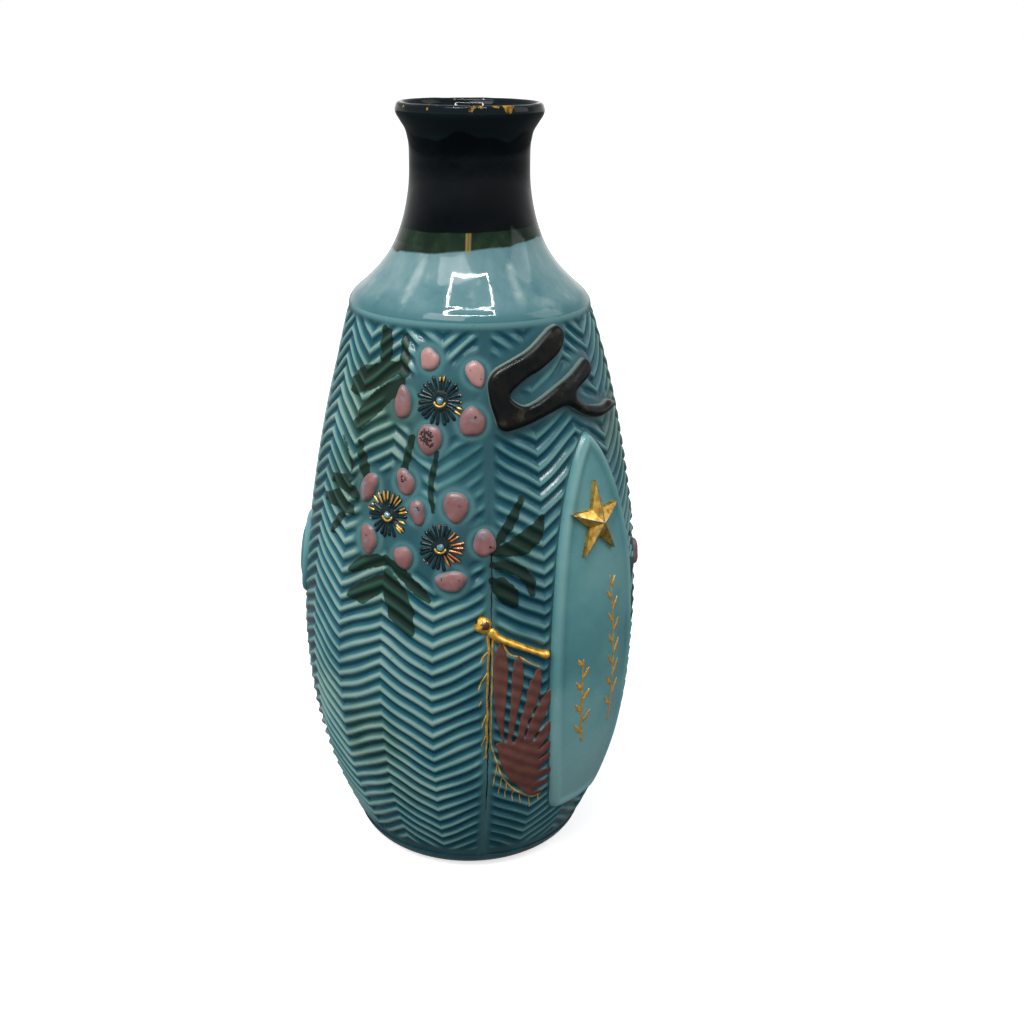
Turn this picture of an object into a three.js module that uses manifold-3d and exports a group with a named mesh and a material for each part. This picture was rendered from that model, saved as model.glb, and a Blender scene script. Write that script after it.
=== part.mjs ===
// Glazed ceramic sake bottle (tokkuri) of two go, with raised and enamelled decoration.
// Millimetres, +Z up. The origin is the middle of the foot's resting plane. Angles round the body are
// in degrees from -Y towards +X, so the arched panel faces -Y.
import * as THREE from "three";
import { mergeVertices } from "three/addons/utils/BufferGeometryUtils.js";
import Module from "manifold-3d";

const wasm = await Module();
wasm.setup();

// ---- driving dimensions ---------------------------------------------------------------------------
const HEIGHT = 165;
const WALL = 3.5;
const JOINT = 0.3; // slip or glaze between two pieces that touch
const SEGMENTS = 48; // facets round the bottle
const WELD = 1e-4; // points closer than this are one point

const BASE_TOP = 4; // the base slab's upper face, where the moulded halves begin
const FOOT_RADIUS = 21.8; // outer edge of the foot ring's flat face
const FOOT_RING = 4.2; // width of the foot ring
const FOOT_RECESS = 1.2;
const SHOULDER_EDGE = 125.5; // the moulded halves end and the thrown shoulder begins
const GLAZE_LINE = 138; // turquoise shoulder below, black neck above
const RIM_RADIUS = 14.05; // circle along the highest line of the lip
const RIM_ROUND = 0.85;

const SEAM_ANGLE = -42; // the mould's parting line, and 180 degrees from it

const PANEL_CENTRE = [-1, 59]; // angle and height of the arched panel's middle
const PANEL_LIFT = 1.3;
const STAR_CENTRE = [-2.5, 84.7];
const STAR_SIZE = [7.4, 8.3]; // sideways and up, from the middle to the arms' tips
const STAR_TURN = 88; // the first arm's direction, from sideways
const STAR_LIFT = 2.2; // above the panel
const BRANCH_LIFT = 2;
const PETAL_LIFT = 1.1;
const STAMEN_RADIUS = 4.2;
const STAFF_LIFT = 1.3;
const SUN_LIFT = 0.6;
const BOSS_CENTRE = [-143, 66.8];
const BOSS_SIZE = [8.5, 10];
const BOSS_LIFT = 2.4;

// The far blossoms are the near ones mirrored in the panel, then dropped and turned a little. Two petals
// turn by angles of their own.
const MIRROR_TURNS = { top: 13, left: -6, low: -6, low_1: -2, low_3: -2 };
const MIRROR_DROPS = { top: 11, left: 11, low: 15 };

// Outside of the moulded body, and of the shoulder and neck, as [height, radius].
const BODY_OUTLINE = [
  [4, 26.6], [9, 28.8], [18, 32.4], [30, 35.6], [45, 37.3], [60, 37.4],
  [75, 36.2], [90, 33.9], [105, 30.8], [118, 27.4], [125.5, 25.3],
];
const NECK_OUTLINE = [
  [125.8, 25.2], [127, 24.4], [128.5, 22.7], [132, 19.1], [136, 16.2], [141, 14.1], [148, 12.6],
  [154, 12.35], [157.5, 12.5], [159.5, 13], [161.3, 14.1], [162.6, 14.9], [163.6, 15.1], [164.2, 14.9],
];
const NECK_BORE = [
  [125.8, 21.6], [129, 18.3], [133, 14.3], [138, 11.2], [143, 9.6], [150, 9.2],
  [158, 9.5], [162, 11.3], [164.2, 13.2],
];

// ---- colours --------------------------------------------------------------------------------------
const glaze = (color, roughness = 0.25) => new THREE.MeshStandardMaterial({ color, roughness, metalness: 0 });
const gilt = () => new THREE.MeshStandardMaterial({ color: 0xc79a3a, roughness: 0.35, metalness: 0.9 });
const TURQUOISE = 0x4f8389;
const PALE_TURQUOISE = 0x6f9fa5;
const BLACK_GLAZE = 0x0c1418;
const PINK_ENAMEL = 0xb5777a;
const RED_ENAMEL = 0x4e302c;
const STAMEN_GLAZE = 0x2f4a46;

// ---- geometry helpers -----------------------------------------------------------------------------
const radians = THREE.MathUtils.degToRad;

// A smooth radius against height through an outline's points.
function smoothRadius(outline) {
  const heights = outline.map(([height]) => height);
  const radii = outline.map(([, radius]) => radius);
  const curve = new THREE.CubicInterpolant(heights, radii, 1);
  return (height) => curve.evaluate(THREE.MathUtils.clamp(height, heights[0], heights.at(-1)))[0];
}
const bodyRadius = smoothRadius(BODY_OUTLINE);
const neckRadius = smoothRadius(NECK_OUTLINE);
const boreRadius = smoothRadius(NECK_BORE);

function steps(from, to, count) {
  return Array.from({ length: count + 1 }, (_, i) => from + ((to - from) * i) / count);
}

function alongHeight(radiusAt, from, to, count) {
  return steps(from, to, count).map((z) => new THREE.Vector2(radiusAt(z), z));
}

// Revolves a profile about Z. It runs up the outside and down the inside.
function revolve(profile) {
  return new THREE.LatheGeometry(profile, SEGMENTS).rotateX(Math.PI / 2);
}

function closedProfile(points) {
  return [...points, points[0].clone()];
}

function welded(geometry) {
  const bare = geometry.clone();
  bare.deleteAttribute("normal");
  bare.deleteAttribute("uv");
  return mergeVertices(bare, WELD);
}

function toManifold(geometry) {
  const mesh = welded(geometry);
  return new wasm.Manifold(new wasm.Mesh({
    numProp: 3,
    vertProperties: new Float32Array(mesh.attributes.position.array),
    triVerts: new Uint32Array(mesh.index.array),
  }));
}

function fromManifold(solid) {
  const mesh = solid.getMesh();
  const geometry = new THREE.BufferGeometry();
  geometry.setAttribute("position", new THREE.BufferAttribute(mesh.vertProperties, 3));
  geometry.setIndex(new THREE.BufferAttribute(mesh.triVerts, 1));
  return geometry;
}

// A point on the body, lifted off its surface. Sideways is millimetres along the girth.
function onBody([angle, height], sideways, up, lift) {
  const around = radians(angle) + sideways / bodyRadius(height);
  const radius = bodyRadius(height + up) + lift;
  return new THREE.Vector3(Math.sin(around) * radius, -Math.cos(around) * radius, height + up);
}

// A closed solid from rings of equal length: the first and last rings close on a single point each.
function fromRings(first, rings, last) {
  const count = rings[0].length;
  const points = [first, ...rings.flat(), last];
  const at = (ring, i) => 1 + ring * count + (i % count);
  const faces = [];
  for (let i = 0; i < count; i += 1) {
    faces.push(0, at(0, i), at(0, i + 1));
    for (let ring = 0; ring + 1 < rings.length; ring += 1) {
      faces.push(at(ring, i), at(ring + 1, i), at(ring + 1, i + 1));
      faces.push(at(ring, i), at(ring + 1, i + 1), at(ring, i + 1));
    }
    faces.push(points.length - 1, at(rings.length - 1, i + 1), at(rings.length - 1, i));
  }
  const geometry = new THREE.BufferGeometry().setFromPoints(points);
  geometry.setIndex(faces);
  return geometry;
}

// The same outline with no edge longer than a given length.
function splitEdges(rim, longest) {
  return rim.flatMap(([x, y], i) => {
    const [nextX, nextY] = rim[(i + 1) % rim.length];
    const pieces = Math.ceil(Math.hypot(nextX - x, nextY - y) / longest);
    return steps(0, 1, pieces).slice(0, -1).map((t) => [x + (nextX - x) * t, y + (nextY - y) * t]);
  });
}

// A relief lying on the body. The rim is [sideways, up] points, anticlockwise seen from outside, and the
// crown is [share of the rim, lift] from the middle outwards. The underside follows the body.
function relief(centre, rim, crown, floorLift = JOINT) {
  const ring = (share, lift) => rim.map(([x, y]) => onBody(centre, x * share, y * share, lift));
  const top = crown.slice(1).map(([share, lift]) => ring(share, lift));
  const under = crown.slice(1).reverse().map(([share]) => ring(share, floorLift));
  return fromRings(onBody(centre, 0, 0, crown[0][1]), [...top, ...under], onBody(centre, 0, 0, floorLift));
}

function oval(halfWidth, halfHeight, tilt = 0, count = 12) {
  const curve = new THREE.EllipseCurve(0, 0, halfWidth, halfHeight, 0, 2 * Math.PI, false, radians(tilt));
  return curve.getPoints(count).slice(0, count).map((point) => [point.x, point.y]);
}

// A limb of even thickness that follows the body through [angle, height, half width] stations.
function limb(stations, lift) {
  const [angle0, height0] = stations[0];
  const girth = bodyRadius(height0);
  const flat = stations.map(([angle, height]) => [girth * radians(angle - angle0), height - height0]);
  const [side, crown] = [lift * 0.55, lift * 0.95];
  const section = [[1, JOINT], [1, side], [0.5, crown], [-0.5, crown], [-1, side], [-1, JOINT]];
  const rings = stations.map(([, , halfWidth], i) => {
    const before = flat[Math.max(i - 1, 0)];
    const after = flat[Math.min(i + 1, flat.length - 1)];
    const along = new THREE.Vector2(after[0] - before[0], after[1] - before[1]).normalize();
    return section.map(([across, level]) => onBody(
      [angle0, height0],
      flat[i][0] + along.y * across * halfWidth,
      flat[i][1] - along.x * across * halfWidth,
      level,
    ));
  });
  const middle = (i) => onBody([angle0, height0], flat[i][0], flat[i][1], lift * 0.5);
  return fromRings(middle(0), rings, middle(flat.length - 1));
}

function unite(geometries) {
  const solids = geometries.map(toManifold);
  return fromManifold(solids.reduce((whole, solid) => whole.add(solid)));
}

// ---- the bottle's clay pieces ---------------------------------------------------------------------
function makeBaseSlab() {
  const ringInside = FOOT_RADIUS - FOOT_RING;
  const [slabHeight, slabRadius] = BODY_OUTLINE[0];
  const foot = new THREE.Vector2(FOOT_RADIUS, 0);
  const heel = new THREE.QuadraticBezierCurve(
    foot, new THREE.Vector2(slabRadius - 1.2, 0.6), new THREE.Vector2(slabRadius, slabHeight),
  );
  return revolve([
    new THREE.Vector2(0, FOOT_RECESS),
    new THREE.Vector2(ringInside - 0.6, FOOT_RECESS),
    new THREE.Vector2(ringInside, 0),
    ...heel.getPoints(4),
    new THREE.Vector2(0, BASE_TOP),
  ]);
}

function makeBodyHalf(middleAngle) {
  const bottom = BASE_TOP + JOINT;
  const outside = alongHeight(bodyRadius, bottom, SHOULDER_EDGE, 15);
  const inside = alongHeight((z) => bodyRadius(z) - WALL, SHOULDER_EDGE, bottom, 11);
  const wall = toManifold(revolve(closedProfile([...outside, ...inside])));
  const reach = 2 * HEIGHT;
  const side = new THREE.BoxGeometry(reach, reach, reach)
    .translate(0, -(reach + JOINT) / 2, 0)
    .rotateZ(radians(middleAngle));
  return fromManifold(wall.intersect(toManifold(side)));
}

function makeShoulder() {
  const bottom = SHOULDER_EDGE + JOINT;
  const top = GLAZE_LINE - JOINT / 2;
  const outside = alongHeight(neckRadius, bottom, top, 7);
  const inside = alongHeight(boreRadius, top, bottom, 4);
  return revolve(closedProfile([...outside, ...inside]));
}

function makeNeck() {
  const bottom = GLAZE_LINE + JOINT / 2;
  const lipHeight = NECK_OUTLINE.at(-1)[0];
  const outside = alongHeight(neckRadius, bottom, lipHeight, 20);
  const rim = new THREE.EllipseCurve(RIM_RADIUS, lipHeight, RIM_ROUND, HEIGHT - lipHeight, 0, Math.PI);
  const inside = alongHeight(boreRadius, lipHeight, bottom, 8);
  return revolve(closedProfile([...outside, ...rim.getPoints(5).slice(1, -1), ...inside]));
}

// ---- the raised decoration ------------------------------------------------------------------------
// Half of the arched panel's outline, as [sideways, up] from its centre: the foot, the side, the arch.
const PANEL_SIDE = [
  [3.5, -43], [8.5, -41.8], [10.8, -34], [12.4, -24], [13.3, -10], [13.4, 4], [12.6, 15],
  [11.3, 23], [9, 31], [5.6, 38], [2.2, 42.2],
];

function makePanel() {
  const left = PANEL_SIDE.map(([x, y]) => [-x, y]).reverse();
  const rim = splitEdges([...PANEL_SIDE, [0, 43.5], ...left], 6);
  const flat = steps(0, 0.95, 6).map((share) => [share, PANEL_LIFT]);
  return relief(PANEL_CENTRE, rim, [...flat, [1, PANEL_LIFT * 0.7]]);
}

function makeStar() {
  const points = 5;
  const hollow = 0.38; // the notches' radius over the tips'
  const rim = Array.from({ length: 2 * points }, (_, i) => {
    const angle = radians(STAR_TURN) + (i * Math.PI) / points;
    const share = i % 2 ? hollow : 1;
    return [STAR_SIZE[0] * share * Math.cos(angle), STAR_SIZE[1] * share * Math.sin(angle)];
  });
  const floor = PANEL_LIFT + JOINT;
  const crown = [[0, floor + STAR_LIFT], [0.5, floor + STAR_LIFT * 0.6], [1, floor + 0.3]];
  return relief(STAR_CENTRE, rim, crown, floor);
}

// The blackened bough: a crook with a short upper arm and a longer lower arm that forks.
const BOUGH = {
  trunk: [[-38, 106.4, 1.6], [-38.2, 108.5, 2], [-38, 112, 2.2], [-36.8, 114.6, 2.1]],
  upperArm: [
    [-38, 114, 1.6], [-33, 116, 2], [-26, 117.5, 2.1], [-17, 119.6, 2.2], [-10, 121.6, 2], [-7, 122.8, 1.2],
  ],
  lowerArm: [
    [-38, 107.5, 1.5], [-32, 107.7, 2], [-24, 108.6, 2], [-15, 110.1, 2.1], [-8, 110.9, 2.1],
    [-3, 111.8, 1.8],
  ],
  upperProng: [[-7, 111, 1.8], [-1, 113.2, 1.6], [4, 114.8, 1.4], [7, 115.6, 0.9]],
  lowerProng: [
    [-9, 110.3, 1.8], [-3, 108.2, 1.8], [4, 106.2, 1.4], [12, 105.7, 1.2], [19, 105.9, 1], [23, 105.4, 0.6],
  ],
};

function makeBough() {
  return unite(Object.values(BOUGH).map((stations) => limb(stations, BRANCH_LIFT)));
}

// The petals of the three blossoms: angle, height, half width, half height, tilt.
const PETALS = {
  top_1: [-65.3, 118.6, 2.1, 2.1, 0],
  top_2: [-46.3, 116.2, 1.9, 2.6, 10],
  top_3: [-48, 107.2, 2.5, 3, -15],
  top_4: [-63.6, 103.6, 2.5, 3, 20],
  top_5: [-75.4, 109.9, 1.9, 3.1, 12],
  left_1: [-86.4, 92.4, 2.1, 3, -18],
  left_2: [-71.6, 94.8, 1.9, 2.7, 18],
  left_3: [-66.6, 89.1, 1.7, 2.5, 8],
  left_4: [-70.9, 79.7, 2, 2.5, 15],
  left_5: [-84.6, 82, 2.1, 3, 18],
  low_1: [-53.5, 90.8, 2.6, 3, 20],
  low_2: [-44, 83.6, 2.2, 2.9, 10],
  low_3: [-54.7, 75.8, 3.1, 2.3, 8],
};
const STAMENS = { top: [-60.4, 111], left: [-77.5, 87.7], low: [-58.3, 82.6] };

function makePetal([angle, height, halfWidth, halfHeight, tilt]) {
  const crown = [[0, 1], [0.6, 0.8], [1, 0.35]].map(([share, lift]) => [share, lift * PETAL_LIFT]);
  return relief([angle, height], oval(halfWidth, halfHeight, tilt), crown);
}

function makeStamens(centre) {
  const eye = [[0, 1.4], [0.16, 1.2], [0.26, 0.7]];
  return relief(centre, oval(STAMEN_RADIUS, STAMEN_RADIUS, 0, 14), [...eye, [0.8, 0.7], [1, 0.45]]);
}

// The flag's staff, with a ball at each end, and the sun rays painted below it.
const STAFF = [
  [-44.6, 67.4, 0.9], [-43.8, 66.3, 1.6], [-42.4, 65.2, 1.5], [-40.3, 63.9, 1], [-33, 61.2, 0.8],
  [-27, 59.2, 0.7], [-24.9, 58.5, 1], [-23.6, 58.1, 0.7],
];
const SUN_CENTRE = [-29.5, 31];
const SUN_OUTLINE = [
  [6.6, -4.5], [6.2, -0.5], [4.8, 4], [4.6, 14], [2.8, 24.5], [-1.8, 27.8], [-5.4, 30.6],
  [-6.3, 18], [-6.8, 7], [-5.6, 0.5], [-3.4, -3.6], [0.4, -7], [4.6, -8.2],
];

function makeSun() {
  const rim = splitEdges(SUN_OUTLINE, 4);
  return relief(SUN_CENTRE, rim, steps(0, 1, 5).map((share) => [share, SUN_LIFT]));
}

function makeBoss() {
  const dome = [[0, 1], [0.5, 0.94], [0.8, 0.72], [1, 0.35]];
  const crown = dome.map(([share, lift]) => [share, lift * BOSS_LIFT]);
  return relief(BOSS_CENTRE, oval(...BOSS_SIZE, 0, 24), crown);
}

// ---- assembly -------------------------------------------------------------------------------------
const bottle = new THREE.Group();
bottle.name = "sake_bottle";

function place(name, geometry, material) {
  const mesh = new THREE.Mesh(welded(geometry), material);
  mesh.geometry.computeVertexNormals();
  mesh.name = name;
  bottle.add(mesh);
}

// The far twin of a petal's row, or of a blossom's centre. A petal's name starts with its blossom's.
function mirrored(name, [angle, height, halfWidth, halfHeight, tilt = 0]) {
  const [blossom] = name.split("_");
  const turn = MIRROR_TURNS[name] ?? MIRROR_TURNS[blossom];
  return [turn - angle, height - MIRROR_DROPS[blossom], halfWidth, halfHeight, -tilt];
}

place("base_slab", makeBaseSlab(), glaze(TURQUOISE));
place("body_half_left", makeBodyHalf(SEAM_ANGLE - 90), glaze(TURQUOISE));
place("body_half_right", makeBodyHalf(SEAM_ANGLE + 90), glaze(TURQUOISE));
place("shoulder", makeShoulder(), glaze(PALE_TURQUOISE, 0.15));
place("neck", makeNeck(), glaze(BLACK_GLAZE, 0.12));
place("arched_panel", makePanel(), glaze(PALE_TURQUOISE));
place("star", makeStar(), gilt());
place("bough", makeBough(), glaze(BLACK_GLAZE));
place("boss", makeBoss(), glaze(TURQUOISE));
for (const [name, petal] of Object.entries(PETALS)) {
  place(`petal_${name}`, makePetal(petal), glaze(PINK_ENAMEL, 0.45));
  place(`petal_far_${name}`, makePetal(mirrored(name, petal)), glaze(PINK_ENAMEL, 0.45));
}
for (const [name, centre] of Object.entries(STAMENS)) {
  place(`stamens_${name}`, makeStamens(centre), glaze(STAMEN_GLAZE));
  place(`stamens_far_${name}`, makeStamens(mirrored(name, centre)), glaze(STAMEN_GLAZE));
}
place("flag_staff", limb(STAFF, STAFF_LIFT), gilt());
place("flag_sun", makeSun(), glaze(RED_ENAMEL, 0.5));

export default bottle;
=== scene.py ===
import math

import bmesh
import bpy
import numpy as np
from mathutils import Matrix, Vector
from mathutils.geometry import delaunay_2d_cdt


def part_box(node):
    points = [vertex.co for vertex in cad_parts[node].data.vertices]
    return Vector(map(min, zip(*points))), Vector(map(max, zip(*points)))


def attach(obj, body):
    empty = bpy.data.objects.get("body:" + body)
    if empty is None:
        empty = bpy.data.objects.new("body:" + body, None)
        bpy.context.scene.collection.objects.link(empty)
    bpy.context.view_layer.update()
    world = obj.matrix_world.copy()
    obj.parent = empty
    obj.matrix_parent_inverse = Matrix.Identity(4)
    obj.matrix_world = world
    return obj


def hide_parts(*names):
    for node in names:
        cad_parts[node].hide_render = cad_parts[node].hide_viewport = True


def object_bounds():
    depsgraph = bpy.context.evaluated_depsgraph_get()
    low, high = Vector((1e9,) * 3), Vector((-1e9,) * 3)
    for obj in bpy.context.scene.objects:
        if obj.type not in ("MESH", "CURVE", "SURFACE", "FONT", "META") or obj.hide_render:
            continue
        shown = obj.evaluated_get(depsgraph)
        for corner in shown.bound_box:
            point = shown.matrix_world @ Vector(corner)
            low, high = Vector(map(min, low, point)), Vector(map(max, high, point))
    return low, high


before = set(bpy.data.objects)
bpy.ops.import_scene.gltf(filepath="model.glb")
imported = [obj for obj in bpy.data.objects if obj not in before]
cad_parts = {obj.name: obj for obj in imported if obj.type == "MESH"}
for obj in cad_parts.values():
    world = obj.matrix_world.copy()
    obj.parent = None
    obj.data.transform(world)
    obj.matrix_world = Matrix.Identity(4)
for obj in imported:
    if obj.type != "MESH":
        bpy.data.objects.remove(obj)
cad_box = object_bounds()

# The frame is in metres. Lengths below are in millimetres, and angles round the bottle are in degrees
# from -Y towards +X.
MM = 0.001
DEGREE_WIDTH = 0.6  # about a degree round the body, in millimetres
HEIGHT = (cad_box[1].z - cad_box[0].z) / MM
BASE_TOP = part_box("base_slab")[1].z / MM
SHOULDER_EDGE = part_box("body_half_left")[1].z / MM
SHOULDER_TOP = (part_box("shoulder")[1].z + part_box("neck")[0].z) / 2 / MM

# ---- camera -----------------------------------------------------------------------------------------
CAMERA_AZIMUTH = -48
CAMERA_DISTANCE = 269.67
CAMERA_HEIGHT = 180.3
CAMERA_PITCH = 20.97
CAMERA_YAW = 1.903
CAMERA_ROLL = 0.681
CAMERA_LENS = 45.17

# The hand-made bottle leans a little towards this angle, by these millimetres at each height.
LEAN_ANGLE = -138
LEAN = [(0, 0.5), (50, 0.55), (76, 0), (112, 0), (127, 0.5)]


def around(angle, radius, height):
    """The point at an angle round the bottle, in millimetres."""
    turn = np.radians(angle)
    return np.stack(np.broadcast_arrays(np.sin(turn) * radius, -np.cos(turn) * radius, height), axis=-1)


def on_bottle(angle, radius, height):
    """A point of the hand-made bottle, which leans a little, in millimetres."""
    points = around(angle, radius, height)
    return points + np.interp(points[..., 2:], *np.array(LEAN, float).T) * around(LEAN_ANGLE, 1, 0)


def add_object(name, data):
    made = bpy.data.objects.new(name, data)
    bpy.context.scene.collection.objects.link(made)
    return made


def make_camera():
    camera = add_object("camera", bpy.data.cameras.new("camera"))
    camera.data.lens = CAMERA_LENS
    camera.data.sensor_width = 36
    camera.data.clip_start = 0.01
    turn = Matrix.Rotation(math.radians(CAMERA_AZIMUTH - CAMERA_YAW), 3, "Z")
    tilt = Matrix.Rotation(math.radians(90 - CAMERA_PITCH), 3, "X")
    roll = Matrix.Rotation(math.radians(CAMERA_ROLL), 3, "Z")
    place = Vector(around(CAMERA_AZIMUTH, CAMERA_DISTANCE, CAMERA_HEIGHT) * MM)
    camera.matrix_world = Matrix.Translation(place) @ (turn @ tilt @ roll).to_4x4()
    bpy.context.scene.camera = camera


make_camera()

# ---- the bottle's outline ---------------------------------------------------------------------------
WALL = 3.5
FOOT_RADIUS = 21.8
FOOT_RING = 4.2
FOOT_RECESS = 1.2
RIM_RADIUS = 14.05
RIM_ROUND = 0.85
SEAM_ANGLE = -42
BODY_OUTLINE = [
    (4, 26.6), (9, 28.8), (18, 32.4), (30, 35.6), (45, 37.3), (60, 37.4),
    (75, 36.2), (90, 33.9), (105, 30.8), (118, 27.4), (125.5, 25.3),
]
NECK_OUTLINE = [
    (125.8, 25.2), (127, 24.4), (128.5, 22.7), (132, 19.1), (136, 16.2), (141, 14.1), (148, 12.6),
    (154, 12.35), (157.5, 12.5), (159.5, 13), (161.3, 14.1), (162.6, 14.9), (163.6, 15.1), (164.2, 14.9),
]
NECK_BORE = [
    (125.8, 21.6), (129, 18.3), (133, 14.3), (138, 11.2), (143, 9.6), (150, 9.2),
    (158, 9.5), (162, 11.3), (164.2, 13.2),
]


def smoothstep(low, high, value):
    t = np.clip((value - low) / (high - low), 0, 1)
    return t * t * (3 - 2 * t)


def bell(distance, width):
    """1 at no distance, falling away smoothly over about a width."""
    return np.exp(-((distance / width) ** 2))


def smooth_curve(points):
    """A smooth function through points, which are sorted by their first number."""
    xs, ys = np.array(points, float).T
    widths = np.diff(xs)
    slopes = np.diff(ys) / widths
    tangents = np.concatenate([slopes[:1], (slopes[:-1] + slopes[1:]) / 2, slopes[-1:]])

    def value_at(x):
        x = np.clip(x, xs[0], xs[-1])
        i = np.clip(np.searchsorted(xs, x, side="right") - 1, 0, len(widths) - 1)
        t = (x - xs[i]) / widths[i]
        start = (2 * t**3 - 3 * t**2 + 1) * ys[i] + (t**3 - 2 * t**2 + t) * widths[i] * tangents[i]
        end = (3 * t**2 - 2 * t**3) * ys[i + 1] + (t**3 - t**2) * widths[i] * tangents[i + 1]
        return start + end

    return value_at


body_radius = smooth_curve(BODY_OUTLINE)
neck_radius = smooth_curve(NECK_OUTLINE)
bore_radius = smooth_curve(NECK_BORE)

# ---- the decoration's places: angle and height first --------------------------------------------------
PANEL_CENTRE = (-1, 59)
PANEL_SIDE = [
    (3.5, -43), (8.5, -41.8), (10.8, -34), (12.4, -24), (13.3, -10), (13.4, 4), (12.6, 15),
    (11.3, 23), (9, 31), (5.6, 38), (2.2, 42.2),
]
STAR_CENTRE = (-2.5, 84.7)
STAR_SIZE = (7.4, 8.3)
STAR_TURN = 88
BOSS_CENTRE = (-143, 66.8)
BOSS_SIZE = (8.5, 10)
# The far blossoms are the near ones mirrored in the panel, then dropped and turned a little. Two petals
# turn by angles of their own.
MIRROR_TURNS = {"top": 13, "left": -6, "low": -6, "low_1": -2, "low_3": -2}
MIRROR_DROPS = {"top": 11, "left": 11, "low": 15}

# Angle, height, half width, half height, tilt.
PETALS = {
    "top_1": (-65.3, 118.6, 2.1, 2.1, 0),
    "top_2": (-46.3, 116.2, 1.9, 2.6, 10),
    "top_3": (-48, 107.2, 2.5, 3, -15),
    "top_4": (-63.6, 103.6, 2.5, 3, 20),
    "top_5": (-75.4, 109.9, 1.9, 3.1, 12),
    "left_1": (-86.4, 92.4, 2.1, 3, -18),
    "left_2": (-71.6, 94.8, 1.9, 2.7, 18),
    "left_3": (-66.6, 89.1, 1.7, 2.5, 8),
    "left_4": (-70.9, 79.7, 2, 2.5, 15),
    "left_5": (-84.6, 82, 2.1, 3, 18),
    "low_1": (-53.5, 90.8, 2.6, 3, 20),
    "low_2": (-44, 83.6, 2.2, 2.9, 10),
    "low_3": (-54.7, 75.8, 3.1, 2.3, 8),
}
STAMENS = {"top": (-60.4, 111), "left": (-77.5, 87.7), "low": (-58.3, 82.6)}

BOUGH_OUTLINE = [
    (-41.4, 115.5), (-38.4, 117.1), (-30.4, 118.9), (-23.8, 120.3), (-16.2, 122.6), (-11.1, 123.9),
    (-6.7, 124.1), (-4.3, 122.3), (-8.5, 119.2), (-18.9, 116.3), (-26.2, 114.8), (-33.1, 112.1),
    (-28.7, 110), (-23.4, 110.5), (-14.5, 112.6), (-5.6, 114.4), (3.9, 116.5), (7.1, 116.4),
    (8.6, 114.9), (5.6, 113.1), (-3.8, 110.9), (-1.3, 108.7), (3.8, 107.5), (11.8, 106.7),
    (18.1, 106.9), (24.8, 105.7), (22.5, 104.8), (12.8, 104.5), (6.3, 104.6), (-2.4, 106.3),
    (-9.5, 108.5), (-17.2, 107.8), (-26.2, 106.3), (-32.3, 105.5), (-36, 105.2), (-38.8, 106.1),
    (-39.8, 107.7), (-41.5, 110.7), (-42.2, 113.8),
]

# Dark green leaf strokes: angle, height, half width along each stroke, then its strength.
LEAVES = [
    ([(-88.6, 123.4, 0.6), (-87, 122, 1.5), (-86.5, 119.5, 1.5), (-86, 117, 1.1)], 0.95),
    ([(-77.6, 122.6, 0.5), (-77, 120.6, 0.9), (-76.6, 118.6, 1), (-76.3, 115.4, 1)], 0.95),
    ([(-101.5, 111.2, 2), (-97, 112.8, 2.6), (-90, 114, 2.3), (-82, 115.8, 1.5), (-76, 117, 0.9)], 0.97),
    ([(-96, 104, 1.4), (-92.5, 106.6, 2.1), (-87, 109.4, 2.1), (-80.5, 112.2, 1.5), (-76.8, 113.8, 0.8)],
     0.95),
    ([(-93.5, 100.6, 0.5), (-92, 98.4, 1.2), (-89.4, 95.6, 1.4), (-87.5, 93.8, 0.7)], 0.95),
    ([(-103.5, 100.5, 0.7), (-98.5, 97, 1), (-95.5, 94.6, 0.7)], 0.6),
    ([(-107, 91.3, 1), (-100, 91.6, 1.7), (-92, 89.8, 1)], 0.9),
    ([(-111, 86.6, 0.9), (-103, 87.6, 1.9), (-93.5, 86.4, 1)], 0.9),
    ([(-104, 80.6, 0.9), (-100, 83.6, 1.3), (-97, 86, 0.8)], 0.75),
    ([(-91.5, 74.4, 0.8), (-86.5, 76.6, 1.5), (-80.5, 78, 1.3), (-76, 78.4, 0.7)], 0.92),
    ([(-77.5, 79, 0.7), (-71.5, 76.6, 1.3), (-65, 73.2, 1.3), (-61.5, 71.4, 0.6)], 0.78),
    ([(-91, 69, 1.1), (-86.5, 70, 2.1), (-80.5, 72.6, 1.9), (-76, 75, 0.8)], 0.95),
    ([(-76.4, 76, 0.8), (-74.5, 73, 2.4), (-71, 68.4, 2.9), (-68, 64.4, 1.3)], 0.98),
    ([(-70.4, 103.6, 0.6), (-71.4, 100.2, 0.8), (-72.6, 97, 0.7)], 0.95),
    ([(-60.6, 101, 0.5), (-62, 96.6, 0.6), (-62.3, 92.6, 0.6), (-61.2, 89.4, 0.3)], 0.95),
    ([(-41.4, 82.4, 0.5), (-38.6, 84.4, 0.9), (-34.6, 88, 1.1), (-31, 91.8, 0.6)], 0.95),
    ([(-41.4, 81.6, 0.7), (-36.6, 82, 1.4), (-31.4, 82.8, 2.3), (-27, 84.6, 2), (-23.8, 87.6, 0.7)], 0.98),
    ([(-41.4, 79, 0.7), (-37, 78.8, 1.1), (-31.8, 77.2, 1.2), (-28.8, 74.8, 1.1), (-28.4, 72.4, 0.7)], 0.92),
    ([(-41.4, 75.8, 0.8), (-39, 74.6, 1.9), (-36, 72.4, 2), (-34.4, 70.6, 0.9)], 0.98),
]
# Soft green shade where the leaf colour ran: angle, height, radius, strength.
LEAF_SHADES = [
    (-90, 108, 15, 0.75), (-80, 103, 10, 0.5), (-98, 92, 12, 0.6), (-82, 74, 11, 0.45), (-34, 80, 7, 0.3),
    (-84, 36, 13, 0.6), (-104, 44, 11, 0.3), (-74, 24, 9, 0.4), (20, 100, 8, 0.5),
]


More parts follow.
